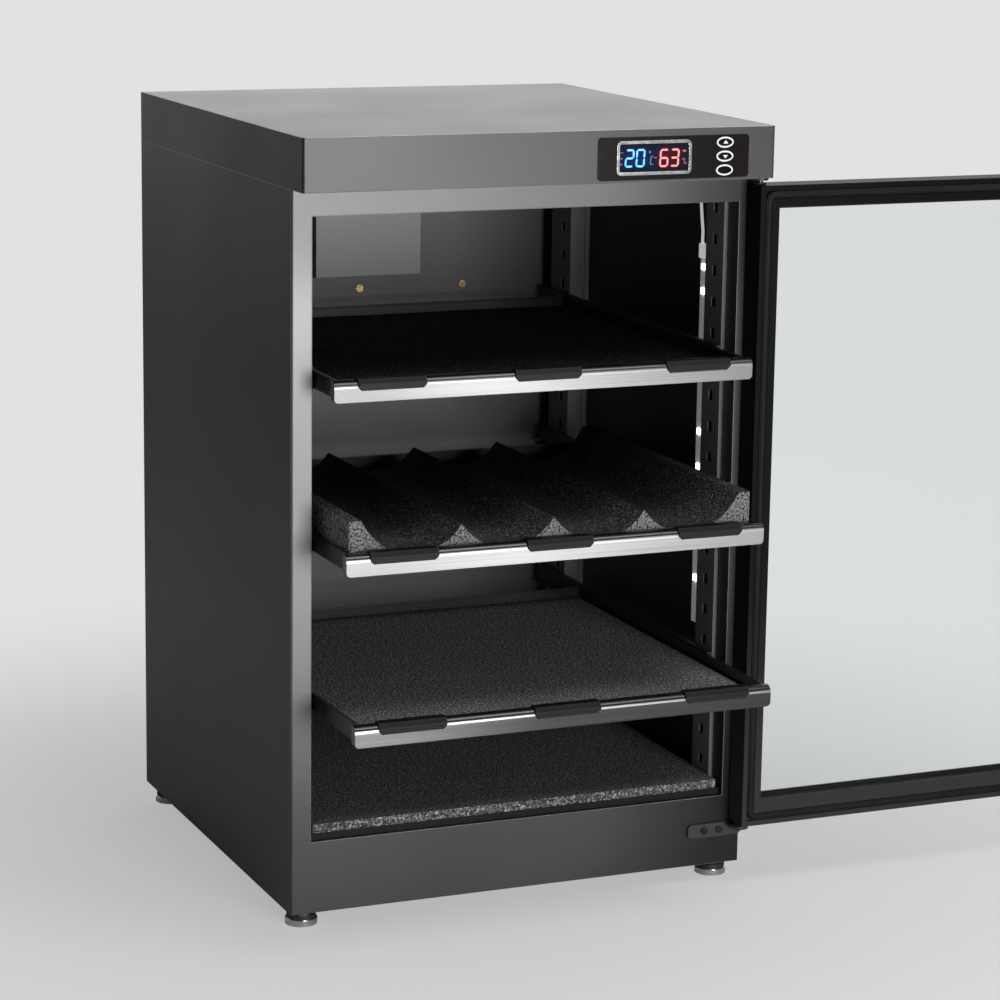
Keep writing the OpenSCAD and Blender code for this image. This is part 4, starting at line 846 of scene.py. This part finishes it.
def stand_up(shape, place):
    for point in shape.verts:
        point.co.x += point.co.y * LEAN
    bmesh.ops.rotate(shape, verts=shape.verts, matrix=Matrix.Rotation(math.pi / 2, 3, "X"))
    bmesh.ops.translate(shape, verts=shape.verts, vec=place)
    extruded(shape, shape.faces[:], (0, -LIT_DEPTH, 0))


def show_number(name, figures, middles, z, finish):
    shape = bmesh.new()
    for figure, x in zip(figures, middles):
        for across, up, upright in bars_of(figure):
            long = (DIGIT_SIZE.y / 2 if upright else DIGIT_SIZE.x) - BAR_GAP
            add_bar(shape, (x + across, up), long, BAR_T, upright)
    stand_up(shape, (0, window_low.y, z))
    return settle(name, shape, finish, "cabinet")


NUMBER_Z = 0.6134
RIGHT_DROP = 0.0004
show_number("digits_temperature", "20", (0.0709, 0.0803), NUMBER_Z, blue_light)
show_number("digits_humidity", "63", (0.1009, 0.1102), NUMBER_Z - RIGHT_DROP, red_light)

# %% [markdown]
# Beside the numbers stand the small unit signs: a degree dot with its letter and a column of three short bars
# at the left, a per cent sign and a short dash at the right. They are lit more dimly, and are built from the
# same bars and a small disc.

# %% Unit signs
signs = bmesh.new()
for up in (0.0010, -0.0052):
    add_bar(signs, (0.0905, up), 0.0022, 0.0008, 0)
add_bar(signs, (0.0893, -0.0021), 0.0058, 0.0008, 1)
bmesh.ops.create_circle(signs, cap_ends=True, segments=12, radius=0.0008,
                        matrix=Matrix.Translation((0.0882, 0.0046, 0)))
for across, up in ((0.0638, 0.0045), (0.0638, 0.0), (0.0638, -0.0045)):
    add_bar(signs, (across, up), 0.0022, 0.0008, 0)
stand_up(signs, (0, window_low.y, NUMBER_Z))
settle("unit_sign_left", signs, dim_light, "cabinet")

ratio = bmesh.new()
add_bar(ratio, (0.1184, 0.0048), 0.0040, 0.0016, 0)
add_bar(ratio, (0.1190, -0.0032), 0.0050, 0.0007, 1)
for across, up in ((0.1176, -0.0016), (0.1204, -0.0050)):
    add_bar(ratio, (across, up), 0.0016, 0.0013, 0)
add_bar(ratio, (0.0934, 0.0), 0.0026, 0.0006, 0)
stand_up(ratio, (0, window_low.y, NUMBER_Z))
settle("unit_sign_right", ratio, dim_red, "cabinet")

# %% [markdown]
# The keys carry a printed triangle each, one up and one down. A circle with three corners is a triangle.
# It is turned, flattened, raised by a tenth of a millimetre and rides on its own key, so that it is
# pressed with it.

# %% Marks on the keys
MARK_RADIUS = 0.0021


def key_mark(name, node, body, turn):
    low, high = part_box(node)
    shape = bmesh.new()
    tri = bmesh.ops.create_circle(shape, cap_ends=True, segments=3, radius=MARK_RADIUS)["verts"]
    bmesh.ops.rotate(shape, verts=tri, matrix=Matrix.Rotation(turn, 3, "Z"))
    bmesh.ops.scale(shape, verts=tri, vec=(1.15, 0.9, 1))
    bmesh.ops.rotate(shape, verts=tri, matrix=Matrix.Rotation(math.pi / 2, 3, "X"))
    bmesh.ops.translate(shape, verts=tri, vec=((low.x + high.x) / 2, low.y, (low.z + high.z) / 2))
    extruded(shape, shape.faces[:], (0, -LIT_DEPTH, 0))
    settle(name, shape, mark_white, body)


key_mark("mark_up", "button_up", "up_key", 0)
key_mark("mark_down", "button_down", "down_key", math.pi)

# %% [markdown]
# Each light chip is a small square package under a clear dome. A sphere squashed towards the strip and sunk
# halfway into the chip shows as a dome, so nothing has to be cut.

# %% Light domes
chips_low, chips_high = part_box("led_chips")
CHIP_LEVELS = (0.240, 0.337, 0.367, 0.487, 0.5075)
DOME_RADIUS = 0.0021
DOME_FLATNESS = 0.55
DOME_SUNK = 0.0002
middle_y = (chips_low.y + chips_high.y) / 2
domes = bmesh.new()
for level_z in CHIP_LEVELS:
    ball = bmesh.ops.create_uvsphere(domes, u_segments=20, v_segments=10, radius=DOME_RADIUS)["verts"]
    bmesh.ops.scale(domes, verts=ball, vec=(DOME_FLATNESS, 1, 1))
    bmesh.ops.translate(domes, verts=ball, vec=(chips_low.x + DOME_SUNK, middle_y, level_z))
settle("light_domes", domes, lamp_lens, "cabinet")
